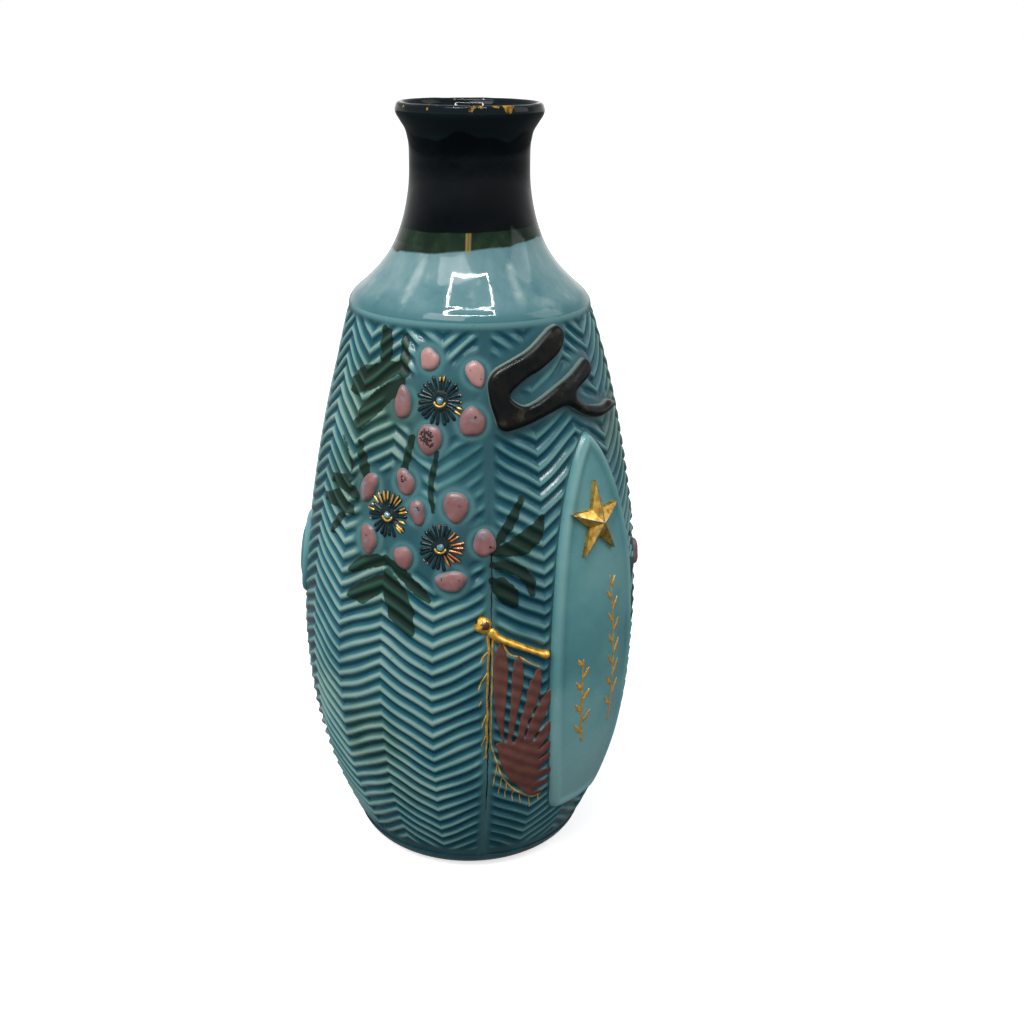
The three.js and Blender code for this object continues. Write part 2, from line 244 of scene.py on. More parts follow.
def mirrored(name, angle, height):
    """The far twin of a petal's or a blossom's place. A petal's name starts with its blossom's."""
    blossom = name.split("_")[0]
    return MIRROR_TURNS.get(name, MIRROR_TURNS[blossom]) - angle, height - MIRROR_DROPS[blossom]


FAR_PETALS = {name: (*mirrored(name, a, z), w, h, -tilt) for name, (a, z, w, h, tilt) in PETALS.items()}
FAR_STAMENS = {name: mirrored(name, *centre) for name, centre in STAMENS.items()}
FAR_LEAVES = [([(*mirrored("low", a, z), w) for a, z, w in path], strength) for path, strength in LEAVES]
FAR_SHADES = [(34, 114, 9, 0.5), (33, 104, 9, 0.6), (33, 93, 9, 0.6), (36, 80, 9, 0.5)]


def local(centre, angle, height):
    """Millimetres sideways and up from a centre, along the body."""
    turn = (np.asarray(angle, float) - centre[0] + 180) % 360 - 180
    return np.radians(turn) * body_radius(centre[1]), np.asarray(height, float) - centre[1]


def distance_from(centre, angle, height):
    return np.hypot(*local(centre, angle, height))


def from_local(centre, x, y):
    """The angle and height of a place x millimetres sideways and y up from a centre."""
    return centre[0] + np.degrees(x / body_radius(centre[1])), centre[1] + y


def to_local(centre, outline):
    return np.stack(local(centre, *np.array(outline, float).T), axis=-1)


def nearest(x, y, start, end):
    """A straight line's point nearest to x, y: its share of the way along, and its distance."""
    (x0, y0), (x1, y1) = start, end
    dx, dy = x1 - x0, y1 - y0
    t = np.clip(((x - x0) * dx + (y - y0) * dy) / (dx * dx + dy * dy), 0, 1)
    return t, np.hypot(x - x0 - t * dx, y - y0 - t * dy)


def path_distance(centre, angle, height, path):
    """Distance to a path less its half width there. The path's rows are angle, height and half width."""
    x, y = local(centre, angle, height)
    stations = [(*np.array(local(centre, a, z)), w) for a, z, w in path]
    best = np.full(np.shape(x), np.inf)
    for (*start, w0), (*end, w1) in zip(stations, stations[1:]):
        t, gap = nearest(x, y, start, end)
        best = np.minimum(best, gap - (w0 + t * (w1 - w0)))
    return best


def outline_distance(x, y, outline):
    """Distance to a closed outline, positive inside it."""
    best = np.full(np.shape(x), np.inf)
    inside = np.zeros(np.shape(x), bool)
    for (x0, y0), (x1, y1) in zip(outline, np.roll(outline, -1, axis=0)):
        best = np.minimum(best, nearest(x, y, (x0, y0), (x1, y1))[1])
        if y0 != y1:
            inside ^= ((y0 <= y) != (y1 <= y)) & (x < x0 + (y - y0) * (x1 - x0) / (y1 - y0))
    return np.where(inside, best, -best)


def curve_steps(a, b, c, d, count):
    """Points along a smooth curve through four points, from the second towards the third."""
    return [
        0.5 * (2 * b + (c - a) * t + (2 * a - 5 * b + 4 * c - d) * t**2 + (3 * b - a - 3 * c + d) * t**3)
        for t in np.arange(0, 1, 1 / count)
    ]


def rounded(outline, spacing):
    """A closed outline resampled along a smooth curve through its points."""
    p = np.asarray(outline, float)
    points = []
    for a, b, c, d in zip(np.roll(p, 1, 0), p, np.roll(p, -1, 0), np.roll(p, -2, 0)):
        points += curve_steps(a, b, c, d, max(1, round(np.linalg.norm(c - b) / spacing)))
    return np.array(points)


def oval(half_width, half_height, tilt, seed, count=36, wobble=1):
    """An oval's outline, hand-modelled where there is wobble."""
    rng = np.random.default_rng(seed)
    turn = np.linspace(0, 2 * np.pi, count, endpoint=False)
    phase = rng.uniform(0, 2 * np.pi, 3)
    uneven = 0.06 * np.sin(2 * turn + phase[0]) + 0.06 * np.sin(3 * turn + phase[1])
    uneven = 1 + wobble * (uneven + 0.02 * np.sin(5 * turn + phase[2]))
    x, y = half_width * uneven * np.cos(turn), half_height * uneven * np.sin(turn)
    c, s = math.cos(math.radians(tilt)), math.sin(math.radians(tilt))
    return np.stack([c * x - s * y, s * x + c * y], axis=-1)


panel_outline = rounded(PANEL_SIDE + [(0, 43.5)] + [(-x, y) for x, y in reversed(PANEL_SIDE)], 0.9)
bough_centre = (-38, 110)
bough_outline = rounded(to_local(bough_centre, BOUGH_OUTLINE), 0.55)

# ---- the glazed surface -------------------------------------------------------------------------------
PEAK_ANGLE = -42
RIB_TURN = 36
RIB_PITCH = 2.98
RIB_DROP = 6.28
RIB_START = 2.05
RIB_DEPTH = 0.78
SMOOTH_DEPTH = 0.25


def zigzag(angle):
    """1 on the chevrons' peaks and -1 in their valleys."""
    return 4 * np.abs(((angle - PEAK_ANGLE) / RIB_TURN) % 1 - 0.5) - 1


def seam_gap(angle, height):
    """Distance round the body to the nearer of the mould's two seams."""
    return np.radians(np.abs((angle - SEAM_ANGLE + 90) % 180 - 90)) * body_radius(height)


def rib_share(angle, height):
    """1 where the ribs stand at full depth, 0 where the ground is smooth."""
    share = smoothstep(5.4, 7.4, height) * smoothstep(124.2, 122.6, height)
    share = share * smoothstep(0.5, 2.2, seam_gap(angle, height))
    panel = outline_distance(*local(PANEL_CENTRE, angle, height), panel_outline)
    share = share * smoothstep(-0.1, -1, panel)
    bough = outline_distance(*local(bough_centre, angle, height), bough_outline)
    share = share * smoothstep(-0.3, -3.2, bough)
    x, y = local(BOSS_CENTRE, angle, height)
    share = share * smoothstep(1, 1.25, np.hypot(x / BOSS_SIZE[0], y / BOSS_SIZE[1]))
    for centre in [*STAMENS.values(), *FAR_STAMENS.values()]:
        share = share * smoothstep(6.2, 8.8, distance_from(centre, angle, height))
    for a, z, w, h, _ in [*PETALS.values(), *FAR_PETALS.values()]:
        share = share * smoothstep(0.3, 2.4, distance_from((a, z), angle, height) - max(w, h))
    for centre in [(-51, 97), mirrored("top", -51, 97)]:
        share = share * (1 - 0.55 * smoothstep(9, 4, distance_from(centre, angle, height)))
    return share


def leaf_fields(angle, height):
    """The brushed leaves, 0.5 along their edges and 1 inside, and the soft green shade round them."""
    leaf = np.zeros(np.shape(angle))
    shade = np.zeros(np.shape(angle))
    for path, strength in [*LEAVES, *FAR_LEAVES]:
        gap = path_distance(path[0][:2], angle, height, path)
        leaf = np.maximum(leaf, strength * np.clip(0.5 - gap / 1.4, 0, 1))
    for a, z, radius, strength in [*LEAF_SHADES, *FAR_SHADES]:
        gap = distance_from((a, z), angle, height)
        shade = np.maximum(shade, strength * smoothstep(radius, radius * 0.3, gap))
    return leaf, shade


def glazed(angle, height):
    """The glazed body's radius, how thick the glaze lies (0 on a rib's top, 1 in a groove, with painted
    shade added on the crests right of the front seam), and how strongly it is ribbed."""
    ribs = rib_share(angle, height)
    phase = (height - RIB_DROP / 2 * zigzag(angle) - RIB_START) / RIB_PITCH
    turn = np.radians(angle)
    phase = phase + 0.05 * np.sin(9 * turn + 0.31 * height) + 0.04 * np.sin(23 * turn - 0.17 * height + 1)
    groove = 0.5 - 0.5 * np.cos(2 * np.pi * phase)
    filled = 0.45 * smoothstep(0.3, 0.6, leaf_fields(angle, height)[0])
    seam = seam_gap(angle, height)
    uneven = 1 + 0.14 * np.sin(5 * turn + 0.21 * height + 2) + 0.08 * np.sin(14 * turn - 0.4 * height)
    depth = (1 - ribs) * SMOOTH_DEPTH + ribs * RIB_DEPTH * uneven * groove * (1 - filled)
    seam_depth = 0.25 + 0.75 * smoothstep(95, 80, height)
    depth = depth + seam_depth * (0.12 * smoothstep(0.4, 0, seam) - 0.1 * bell(seam - 0.9, 0.5))
    depth = depth * smoothstep(SHOULDER_EDGE, SHOULDER_EDGE - 2, height)
    # Thicker glaze and painted shade: rib crests from the front seam to just right of the panel are
    # darkened, as for the side turned from the key light; the darkening fades out towards the right edge.
    covered_and_shaded = 0.27 * smoothstep(-64, -40, angle) * smoothstep(36, 12, angle)
    pool = (1 - ribs) * 0.5 + ribs * (covered_and_shaded + (1 - covered_and_shaded) * groove)
    return body_radius(height) - depth, pool, ribs


def thin_rims(angle, height):
    """Where the glaze runs thin and pale: round the petals, at the shoulder and along the seam."""
    thin = smoothstep(123.9, 125.2, height)
    for a, z, w, h, tilt in [*PETALS.values(), *FAR_PETALS.values()]:
        x, y = local((a, z), angle, height)
        gap = np.hypot(x, y) - (w + h) / 2
        thin = np.maximum(thin, 0.5 * bell(gap - 0.5, 0.6))
    seam = seam_gap(angle, height)
    return np.maximum(thin, 0.35 * bell(seam, 1.2) * smoothstep(90, 70, height))


def glazed_radius(angle, height):
    return glazed(angle, height)[0]


# ---- materials ----------------------------------------------------------------------------------------
def tint(code):
    """An sRGB hex code as a linear colour."""
    channels = [int(code[i : i + 2], 16) / 255 for i in (0, 2, 4)]
    return (*[c / 12.92 if c <= 0.04045 else ((c + 0.055) / 1.055) ** 2.4 for c in channels], 1)


class Nodes:
    """Builds a node tree. An input is a plain value, an sRGB hex code, or another node's socket."""

    def __init__(self, tree):
        self.tree = tree

    def set(self, socket, value):
        if isinstance(value, bpy.types.NodeSocket):
            self.tree.links.new(value, socket)
        else:
            socket.default_value = tint(value) if isinstance(value, str) else value

    def add(self, kind, inputs=None, **settings):
        node = self.tree.nodes.new("ShaderNode" + kind)
        for key, value in settings.items():
            setattr(node, key, value)
        for key, value in (inputs or {}).items():
            self.set(node.inputs[key], value)
        return node

    def place(self):
        return self.add("TexCoord").outputs["Object"]

    def field(self, name):
        """One of the numbers that a mesh carries at each point."""
        return self.add("Attribute", attribute_name=name).outputs["Fac"]

    def noise(self, size, detail=3, roughness=0.5, stretch=None):
        """Noise from 0 to 1 whose spots are about size millimetres across."""
        where = self.place()
        if stretch:
            where = self.add("Mapping", {"Vector": where, "Scale": stretch}).outputs[0]
        inputs = {"Vector": where, "Scale": 1 / (size * MM), "Detail": detail, "Roughness": roughness}
        return self.add("TexNoise", inputs).outputs["Fac"]

    def calculate(self, operation, *values, clamp=False):
        return self.add("Math", dict(enumerate(values)), operation=operation, use_clamp=clamp).outputs[0]

    def spread(self, value, low, high, to_low=0.0, to_high=1.0):
        """A smooth step from to_low to to_high, as the value goes from low to high."""
        inputs = {"Value": value, "From Min": low, "From Max": high, "To Min": to_low, "To Max": to_high}
        return self.add("MapRange", inputs, interpolation_type="SMOOTHSTEP").outputs["Result"]

    def varied(self, size, detail, low, high):
        """Noise that wanders between low and high."""
        return self.spread(self.noise(size, detail), 0.3, 0.7, low, high)

    def plus(self, name, other, **settings):
        """A field's sum with another socket."""
        return self.calculate("ADD", self.field(name), other, **settings)

    def height(self):
        return self.add("SeparateXYZ", {0: self.place()}).outputs["Z"]

    def by_height(self, low, high, to_low, to_high):
        """A smooth step between two heights in millimetres."""
        return self.spread(self.height(), low * MM, high * MM, to_low, to_high)

    def over(self, colour, *layers):
        """Layers of (share, colour) over a first colour. A share is a socket, or a field's name."""
        for share, layer in layers:
            share = self.field(share) if isinstance(share, str) else share
            colour = self.add("Mix", {0: share, 6: colour, 7: layer}, data_type="RGBA").outputs[2]
        return colour

    def ramp(self, value, *stops):
        node = self.add("ValToRGB", {"Fac": value})
        elements = node.color_ramp.elements
        while len(elements) < len(stops):
            elements.new(0.5)
        for element, (position, code) in zip(elements, stops):
            element.position = position
            element.color = tint(code) if isinstance(code, str) else code
        return node.outputs["Color"]

    def bump(self, height, depth, strength=1.0, normal=None):
        """A bump whose full height is depth millimetres."""
        inputs = {"Height": height, "Distance": depth * MM, "Strength": strength}
        if normal:
            inputs["Normal"] = normal
        return self.add("Bump", inputs).outputs["Normal"]

    def glaze_skin(self):
        """The faint orange peel and pinholes of a fired glaze."""
        return self.bump(self.noise(0.8, 2), 0.012, 0.5, self.bump(self.noise(6, 2), 0.12, 0.5))


class Look(Nodes):
    """A new material, with its settings on the Principled shader's own sockets."""

    def __init__(self, name, **settings):
        self.material = bpy.data.materials.new(name)
        self.material.use_nodes = True
        super().__init__(self.material.node_tree)
        self.wire(**settings)

    def wire(self, **settings):
        shader = self.tree.nodes["Principled BSDF"]
        for key, value in settings.items():
            self.set(shader.inputs[key.replace("_", " ")], value)
        return self.material


def body_glaze():
    m = Look("turquoise_glaze", Specular_IOR_Level=0.19, Coat_Weight=0.03, Coat_Roughness=0.06)
    thick = m.plus("pool", m.varied(14, 3, -0.12, 0.12), clamp=True)
    smooth = m.ramp(thick, (0.25, "457a80"), (0.5, "2c5860"), (0.75, "20454f"))
    ribbed = m.ramp(thick, (0, "88a59e"), (0.25, "659190"), (0.55, "285f68"), (1, "0b4658"))
    plain = m.ramp(thick, (0.2, "7aa6a7"), (0.45, "5f9497"), (0.7, "467a80"))
    plain = m.over(plain, (m.by_height(20, 55, 0.6, 0), "8bb6b9"))
    # Painted shade: the body's colour darkens towards the foot, where less light reaches the lower body.
    foot = m.by_height(4, 16, 0.4, 0)
    green = m.ramp(thick, (0, "7e9c8e"), (0.35, "436656"), (1, "0d3026"))
    leaf = m.ramp(thick, (0, "204638"), (0.35, "0b291d"), (1, "041a10"))
    brushed = m.spread(m.plus("leaf", m.varied(1.2, 4, -0.1, 0.1)), 0.4, 0.52, 0, 0.96)
    specks = m.spread(m.noise(0.7, 1), 0.75, 0.8, 0, 0.5)
    colour = m.over(
        smooth, ("ribs", ribbed), ("panel", plain), ("thin", "5f8f92"), (foot, "0e333c"),
        ("shade", green), (brushed, leaf), (specks, "16323a"),
    )
    roughness = m.calculate("MULTIPLY_ADD", brushed, 0.2, m.varied(9, 3, 0.18, 0.32))
    return m.wire(Base_Color=colour, Normal=m.glaze_skin(), Roughness=roughness)


def upper_glaze(name, specular):
    """The pale shoulder, darkened along its lower edge as painted shade, the olive run and the black neck,
    by height, with the worn lip.
    """
    m = Look(name, Specular_IOR_Level=specular)
    cloud = m.noise(9, 4, 0.6, (1, 1, 0.45))
    pale = m.ramp(cloud, (0.3, "4b757b"), (0.5, "62868b"), (0.75, "7d9a9c"))
    streak = m.noise(4, 3, 0.55, (1, 1, 0.3))
    sheer = m.spread(m.calculate("MULTIPLY", m.field("sheer"), streak), 0.12, 0.62, 0, 0.55)
    # Painted shade: the shoulder's colour darkens towards its lower edge, above the crease with the body.
    shoulder_edge_shade = m.by_height(125.5, 129, 0.9, 0)
    wander = m.varied(5, 3, -0.22, 0.22)
    olive = m.ramp(m.noise(3, 3), (0.35, "15241a"), (0.6, "203122"), (0.8, "334330"))
    black = m.ramp(m.noise(7, 2), (0.35, "03070a"), (0.7, "080f13"))
    dipped = m.spread(m.plus("black", m.calculate("MULTIPLY", wander, 0.3)), -0.12, 0.12)
    worn = m.spread(m.plus("worn", m.varied(1.6, 4, -0.4, 0.4)), 0.55, 0.7)
    brown = m.ramp(m.noise(0.9, 2), (0.35, "3a2816"), (0.65, "b0862f"))
    colour = m.over(
        pale, (m.spread(streak, 0.58, 0.76, 0, 0.3), "b0bfbc"), (sheer, "b4c6c4"), (shoulder_edge_shade, "416f75"),
        (m.spread(m.plus("olive", wander), -0.25, 0.25), olive), ("drip", "8d7a45"), (dipped, black),
        (m.spread(m.plus("lip", wander), -0.3, 0.3, 0, 0.7), "152023"), (worn, brown),
    )
    return m.wire(Base_Color=colour, Normal=m.glaze_skin(), Roughness=m.varied(8, 3, 0.03, 0.09))


def pink_enamel():
    m = Look("pink_enamel", Specular_IOR_Level=0.3)
    cells = m.add("TexVoronoi", {"Vector": m.place(), "Scale": 1 / (0.42 * MM)}).outputs["Distance"]
    reach = m.calculate("MULTIPLY", m.field("burst"), 0.5)
    holes = m.spread(m.calculate("SUBTRACT", cells, reach), 0.05, -0.03)
    colour = m.over(
        m.ramp(m.noise(2.2, 4), (0.3, "724c4d"), (0.55, "845b5b"), (0.8, "9c716f")), ("pale", "bb8d88"),
        (m.spread(m.noise(2.6, 3), 0.58, 0.7, 0, 0.8), "6e7f8b"), ("edge", "5f7f86"), (holes, "241a18"),
    )
    grain = m.bump(m.noise(0.6, 3), 0.03, 0.6)
    pits = m.bump(m.calculate("SUBTRACT", 1, holes), 0.12, 0.8, grain)
    return m.wire(Base_Color=colour, Normal=pits, Roughness=m.varied(1.5, 3, 0.32, 0.5))


def bare_foot():
    """The base slab: turquoise glaze that stops short of the bare clay of the foot ring."""
    m = Look("glazed_slab_and_bare_foot")
    level = m.calculate("ADD", m.height(), m.varied(5, 3, -0.4 * MM, 0.4 * MM))
    edge = (0.8 * MM, 1.3 * MM)
    clay = m.ramp(m.noise(1.2, 5, 0.7), (0.3, "8a7a66"), (0.55, "b3a48d"), (0.8, "c7bba6"))
    glaze = m.ramp(m.noise(5, 3), (0.3, "123c47"), (0.7, "235a66"))
    specks = m.spread(m.noise(0.5, 2), 0.68, 0.74, 0, 0.8)
    colour = m.over(clay, (specks, "3f3022"), (m.spread(level, *edge), glaze))
    normal = m.bump(m.noise(0.5, 4), 0.06, 0.5)
    return m.wire(Base_Color=colour, Normal=normal, Roughness=m.spread(level, *edge, 0.85, 0.2))


def mottled(name, spots, stops, grain, gloss, layers=(), **settings):
    """Spots of colour, as noise and its ramp, with layers over them. Grain is a bump's noise, depth and
    strength. Gloss is how the roughness varies."""
    m = Look(name, **settings)
    colour = m.over(m.ramp(m.noise(*spots), *stops), *layers)
    normal = m.bump(m.noise(*grain[:2]), *grain[2:]) if grain else m.glaze_skin()
    return m.wire(Base_Color=colour, Normal=normal, Roughness=m.varied(*gloss))


def gilding(name, bright, deep, metal, under="553f28"):
    """Gilding that is rubbed off where its piece is worn."""
    m = Look(name, Metallic=metal)
    gilt = m.ramp(m.noise(1.3, 4), (0.3, deep), (0.55, bright), (0.8, "f2cf73"))
    rubbed = m.spread(m.plus("worn", m.varied(0.8, 3, -0.25, 0.25)), 0.45, 0.6)
    grain = m.bump(m.noise(0.5, 3), 0.03, 0.7)
    colour = m.over(gilt, (rubbed, under))
    return m.wire(Base_Color=colour, Normal=grain, Roughness=m.varied(1.2, 3, 0.22, 0.42))


BODY_GLAZE = body_glaze()
SHOULDER_GLAZE = upper_glaze("pale_glaze", 0.22)
NECK_GLAZE = upper_glaze("black_glaze", 0.1)
PINK = pink_enamel()
# Its pale edge layer is a painted highlight along the bough's rim.
BLACK = mottled(
    "black_enamel", (3.5, 5, 0.62), [(0.42, "060b0c"), (0.58, "12130f"), (0.72, "3a342a")],
    (1.4, 3, 0.05, 0.6), (3, 3, 0.18, 0.4), [("edge", "7f908c")], Specular_IOR_Level=0.12,
)
# The grey-blue under the star's gilding shows rubbed ridges, and painted shade on the facets turned from the
# key light.
STAR_GOLD = gilding("worn_gilding", "cfa24a", "93702c", 0.8, "6a8389")
STAFF_GOLD = gilding("bright_gilding", "e2ae3e", "b07c26", 0.55)
LINE_GOLD = gilding("brushed_gilding", "d9a646", "b07f30", 0.35)
COPPER = gilding("copper_gilding", "c4713c", "7d3f1c", 0.45)
RED = mottled(
    "red_enamel", (3, 4), [(0.3, "5c342e"), (0.6, "6b4139"), (0.8, "764d44")], (0.5, 3, 0.03, 0.7),
    (2, 3, 0.5, 0.68), Specular_IOR_Level=0.3,
)
STAMEN = mottled(
    "stamen_glaze", (0.9, 3), [(0.3, "08171c"), (0.6, "12282d"), (0.8, "24454a")], (0.6, 2, 0.02, 0.6),
    (1.5, 3, 0.2, 0.35), Specular_IOR_Level=0.25,
)
EYE = mottled(
    "eye_glaze", (0.8, 2), [(0.3, "3c6a73"), (0.7, "79a3a6")], None, (2, 3, 0.12, 0.2),
    Coat_Weight=0.4, Coat_Roughness=0.05,
)
CRACK = mottled(
    "crack", (0.7, 3), [(0.35, "060504"), (0.75, "2a1d14")], (0.4, 2, 0.05, 1), (1, 3, 0.7, 0.9),
    Specular_IOR_Level=0.1,
)
FOOT = bare_foot()


# ---- mesh helpers -------------------------------------------------------------------------------------
SHARP_EDGE = 55


def make_piece(name, points, faces, material, slot, replaces=(), attributes=None):
    """A closed, smooth-shaded mesh that rides on the bottle. Points are in millimetres."""
    mesh = bpy.data.meshes.new(name)
    mesh.from_pydata((np.asarray(points) * MM).tolist(), [], faces)
    solid = bmesh.new()
    solid.from_mesh(mesh)
    bmesh.ops.recalc_face_normals(solid, faces=solid.faces)
    solid.to_mesh(mesh)
    solid.free()
    mesh.shade_smooth()
    mesh.set_sharp_from_angle(angle=math.radians(SHARP_EDGE))
    for key, values in (attributes or {}).items():
        layer = mesh.attributes.new(key, "FLOAT", "POINT")
        layer.data.foreach_set("value", np.asarray(values, np.float32))
    mesh.materials.append(material)
    piece = add_object(name, mesh)
    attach(piece, "root")
    if replaces:
        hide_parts(*replaces)
    return piece


def joined(parts):
    """Several (points, faces) meshes as one."""
    points, faces, first = [], [], 0
    for part_points, part_faces in parts:
        points.append(part_points)
        faces += [tuple(first + i for i in face) for face in part_faces]
        first += len(part_points)
    return np.concatenate(points), faces


def band(here, there):
    """Quads between two closed loops of as many points."""
    return [(a, b, d, c) for a, b, c, d in zip(here, here[1:] + here[:1], there, there[1:] + there[:1])]


def revolve(profile, segments, bend=on_bottle):
    """A solid of revolution. A profile of (radius, height) is closed, or runs from axis to axis."""
    turns = np.arange(segments) * 360 / segments
    radii, heights = np.array(profile, float).T
    poles = [(0, 0, heights[0]), (0, 0, heights[-1])] if radii[0] == 0 else []
    if poles:
        radii, heights = radii[1:-1], heights[1:-1]
    points = bend(*np.broadcast_arrays(turns[:, None], radii, heights)).reshape(-1, 3)
    rows, top = len(radii), len(points)
    loops = [list(range(i * rows, (i + 1) * rows)) for i in range(segments)]
    faces = []
    for here, there in zip(loops, loops[1:] + loops[:1]):
        faces += band(here, there)[: rows - 1 if poles else rows]
        if poles:
            faces += [(top, here[0], there[0]), (top + 1, there[-1], here[-1])]
    return np.concatenate([points, np.reshape(poles, (-1, 3))]), faces


def inflated(centre, outline, lifts, spacing, rings=(0.15, 0.4, 0.8), sink=0.35, ground=glazed_radius):
    """A closed solid lying on the body inside an outline. Lifts are (distance from the outline, lift).
    Returns its points, faces and each point's distance from the outline."""
    outline = np.asarray(outline, float)
    ahead = np.roll(outline, -1, 0)
    if np.sum(outline[:, 0] * ahead[:, 1] - ahead[:, 0] * outline[:, 1]) < 0:
        outline = outline[::-1]
    along = np.roll(outline, -1, 0) - np.roll(outline, 1, 0)
    inward = np.stack([-along[:, 1], along[:, 0]], axis=-1) / np.linalg.norm(along, axis=1)[:, None]
    flat = [outline]
    for offset in rings:
        ring = outline + inward * offset
        flat.append(ring[outline_distance(*ring.T, outline) > offset * 0.93])
    (left, low), (right, high) = outline.min(0), outline.max(0)
    rows = enumerate(np.arange(low, high, spacing * 0.87))
    grid = np.array([(x + j % 2 * spacing / 2, y) for j, y in rows for x in np.arange(left, right, spacing)])
    flat.append(grid[outline_distance(*grid.T, outline) > rings[-1] + spacing * 0.55])
    edge_loop = list(range(len(outline)))
    made = delaunay_2d_cdt([Vector(p) for p in np.concatenate(flat)], [], [edge_loop], 1, 1e-5)
    flat, triangles = np.array([tuple(p) for p in made[0]]), [tuple(face) for face in made[2]]
    distance = np.maximum(outline_distance(*flat.T, outline), 0)
    angle, height = from_local(centre, *flat.T)
    radius = ground(angle, height)
    lift = np.interp(distance, *np.array(lifts, float).T)
    points = np.concatenate([on_bottle(angle, r, height) for r in (radius + lift, radius - sink)])
    edges = dict.fromkeys(edge for a, b, c in triangles for edge in ((a, b), (b, c), (c, a)))
    count = len(flat)
    walls = [(a, a + count, b + count, b) for a, b in edges if (b, a) not in edges]
    under = [(c + count, b + count, a + count) for a, b, c in triangles]
    return points, [*triangles, *under, *walls], np.tile(distance, 2)


def smoothed_path(stations, spacing=0.35):
    """Stations of (angle, height, half width) resampled along a smooth curve through them."""
    p = np.array(stations, float)
    p = np.concatenate([[2 * p[0] - p[1]], p, [2 * p[-1] - p[-2]]])
    points = []
    for a, b, c, d in zip(p, p[1:], p[2:], p[3:]):
        length = math.hypot((c - b)[0] * DEGREE_WIDTH, (c - b)[1])
        points += curve_steps(a, b, c, d, max(2, round(length / spacing)))
    return np.array([*points, p[-2]])


def bead(stations, lift, ground=glazed_radius, spacing=0.35, sides=7, sink=0.12):
    """A line of raised glaze through (angle, height, half width) stations, rounded at both ends."""
    path = smoothed_path(stations, spacing)
    centre = tuple(path[len(path) // 2][:2])
    x, y = local(centre, path[:, 0], path[:, 1])
    along = np.stack([np.gradient(x), np.gradient(y)], axis=-1)
    along /= np.linalg.norm(along, axis=1)[:, None]
    run = np.concatenate([[0], np.cumsum(np.hypot(np.diff(x), np.diff(y)))])
    width = np.maximum(path[:, 2], 0.05)
    end = np.minimum(run, run[-1] - run) / width
    width = width * np.sqrt(np.clip(1 - (1 - np.clip(end, 0, 1)) ** 2, 0.02, 1))
    turn = np.linspace(0, math.pi, sides)
    across = np.append(np.cos(turn), 0)
    rise = np.append(np.sin(turn), 0)
    px = x[:, None] + along[:, 1:2] * width[:, None] * across
    py = y[:, None] - along[:, 0:1] * width[:, None] * across
    angle, height = from_local(centre, px, py)
    level = np.minimum(lift, width * 0.9)[:, None] * rise
    level[:, 0] = level[:, sides - 1] = -0.03
    level[:, -1] = -sink
    points = on_bottle(angle, ground(angle, height) + level, height).reshape(-1, 3)
    loops = np.arange(len(points)).reshape(len(path), -1).tolist()
    faces = [face for here, there in zip(loops, loops[1:]) for face in band(here, there)]
    return points, [*faces, tuple(loops[0]), tuple(reversed(loops[-1]))]


# ---- the ribbed body ----------------------------------------------------------------------------------
FINE = 0.5
COARSE = 1.5


def zipped(loop_a, at_a, loop_b, at_b):
    """Triangles between two closed loops, whose points are paired by their place along the loop."""
    faces, i, j = [], 0, 0
    count_a, count_b = len(loop_a), len(loop_b)
    at_a, at_b = [*at_a, 4.0], [*at_b, 4.0]
    while i < count_a or j < count_b:
        if j == count_b or (i < count_a and at_a[i + 1] <= at_b[j + 1]):
            faces.append((loop_a[i], loop_a[(i + 1) % count_a], loop_b[j % count_b]))
            i += 1
        else:
            faces.append((loop_a[i % count_a], loop_b[(j + 1) % count_b], loop_b[j]))
            j += 1
    return faces


def border(rows, columns, first=0):
    """A grid's border as point numbers, and each one's place: 0 to 4 round the four sides."""
    at = first + np.arange(rows * columns).reshape(rows, columns)
    sides = [side[:-1] for side in (at[0], at[:, -1], at[-1, ::-1], at[::-1, 0])]
    places = [number + np.arange(len(side)) / len(side) for number, side in enumerate(sides)]
    return np.concatenate(sides).tolist(), np.concatenate(places)


def grid_faces(rows, columns, first=0):
    at = (first + np.arange(rows * columns).reshape(rows, columns)).tolist()
    return [
        (here[c], here[c + 1], there[c + 1], there[c])
        for here, there in zip(at, at[1:]) for c in range(columns - 1)
    ]


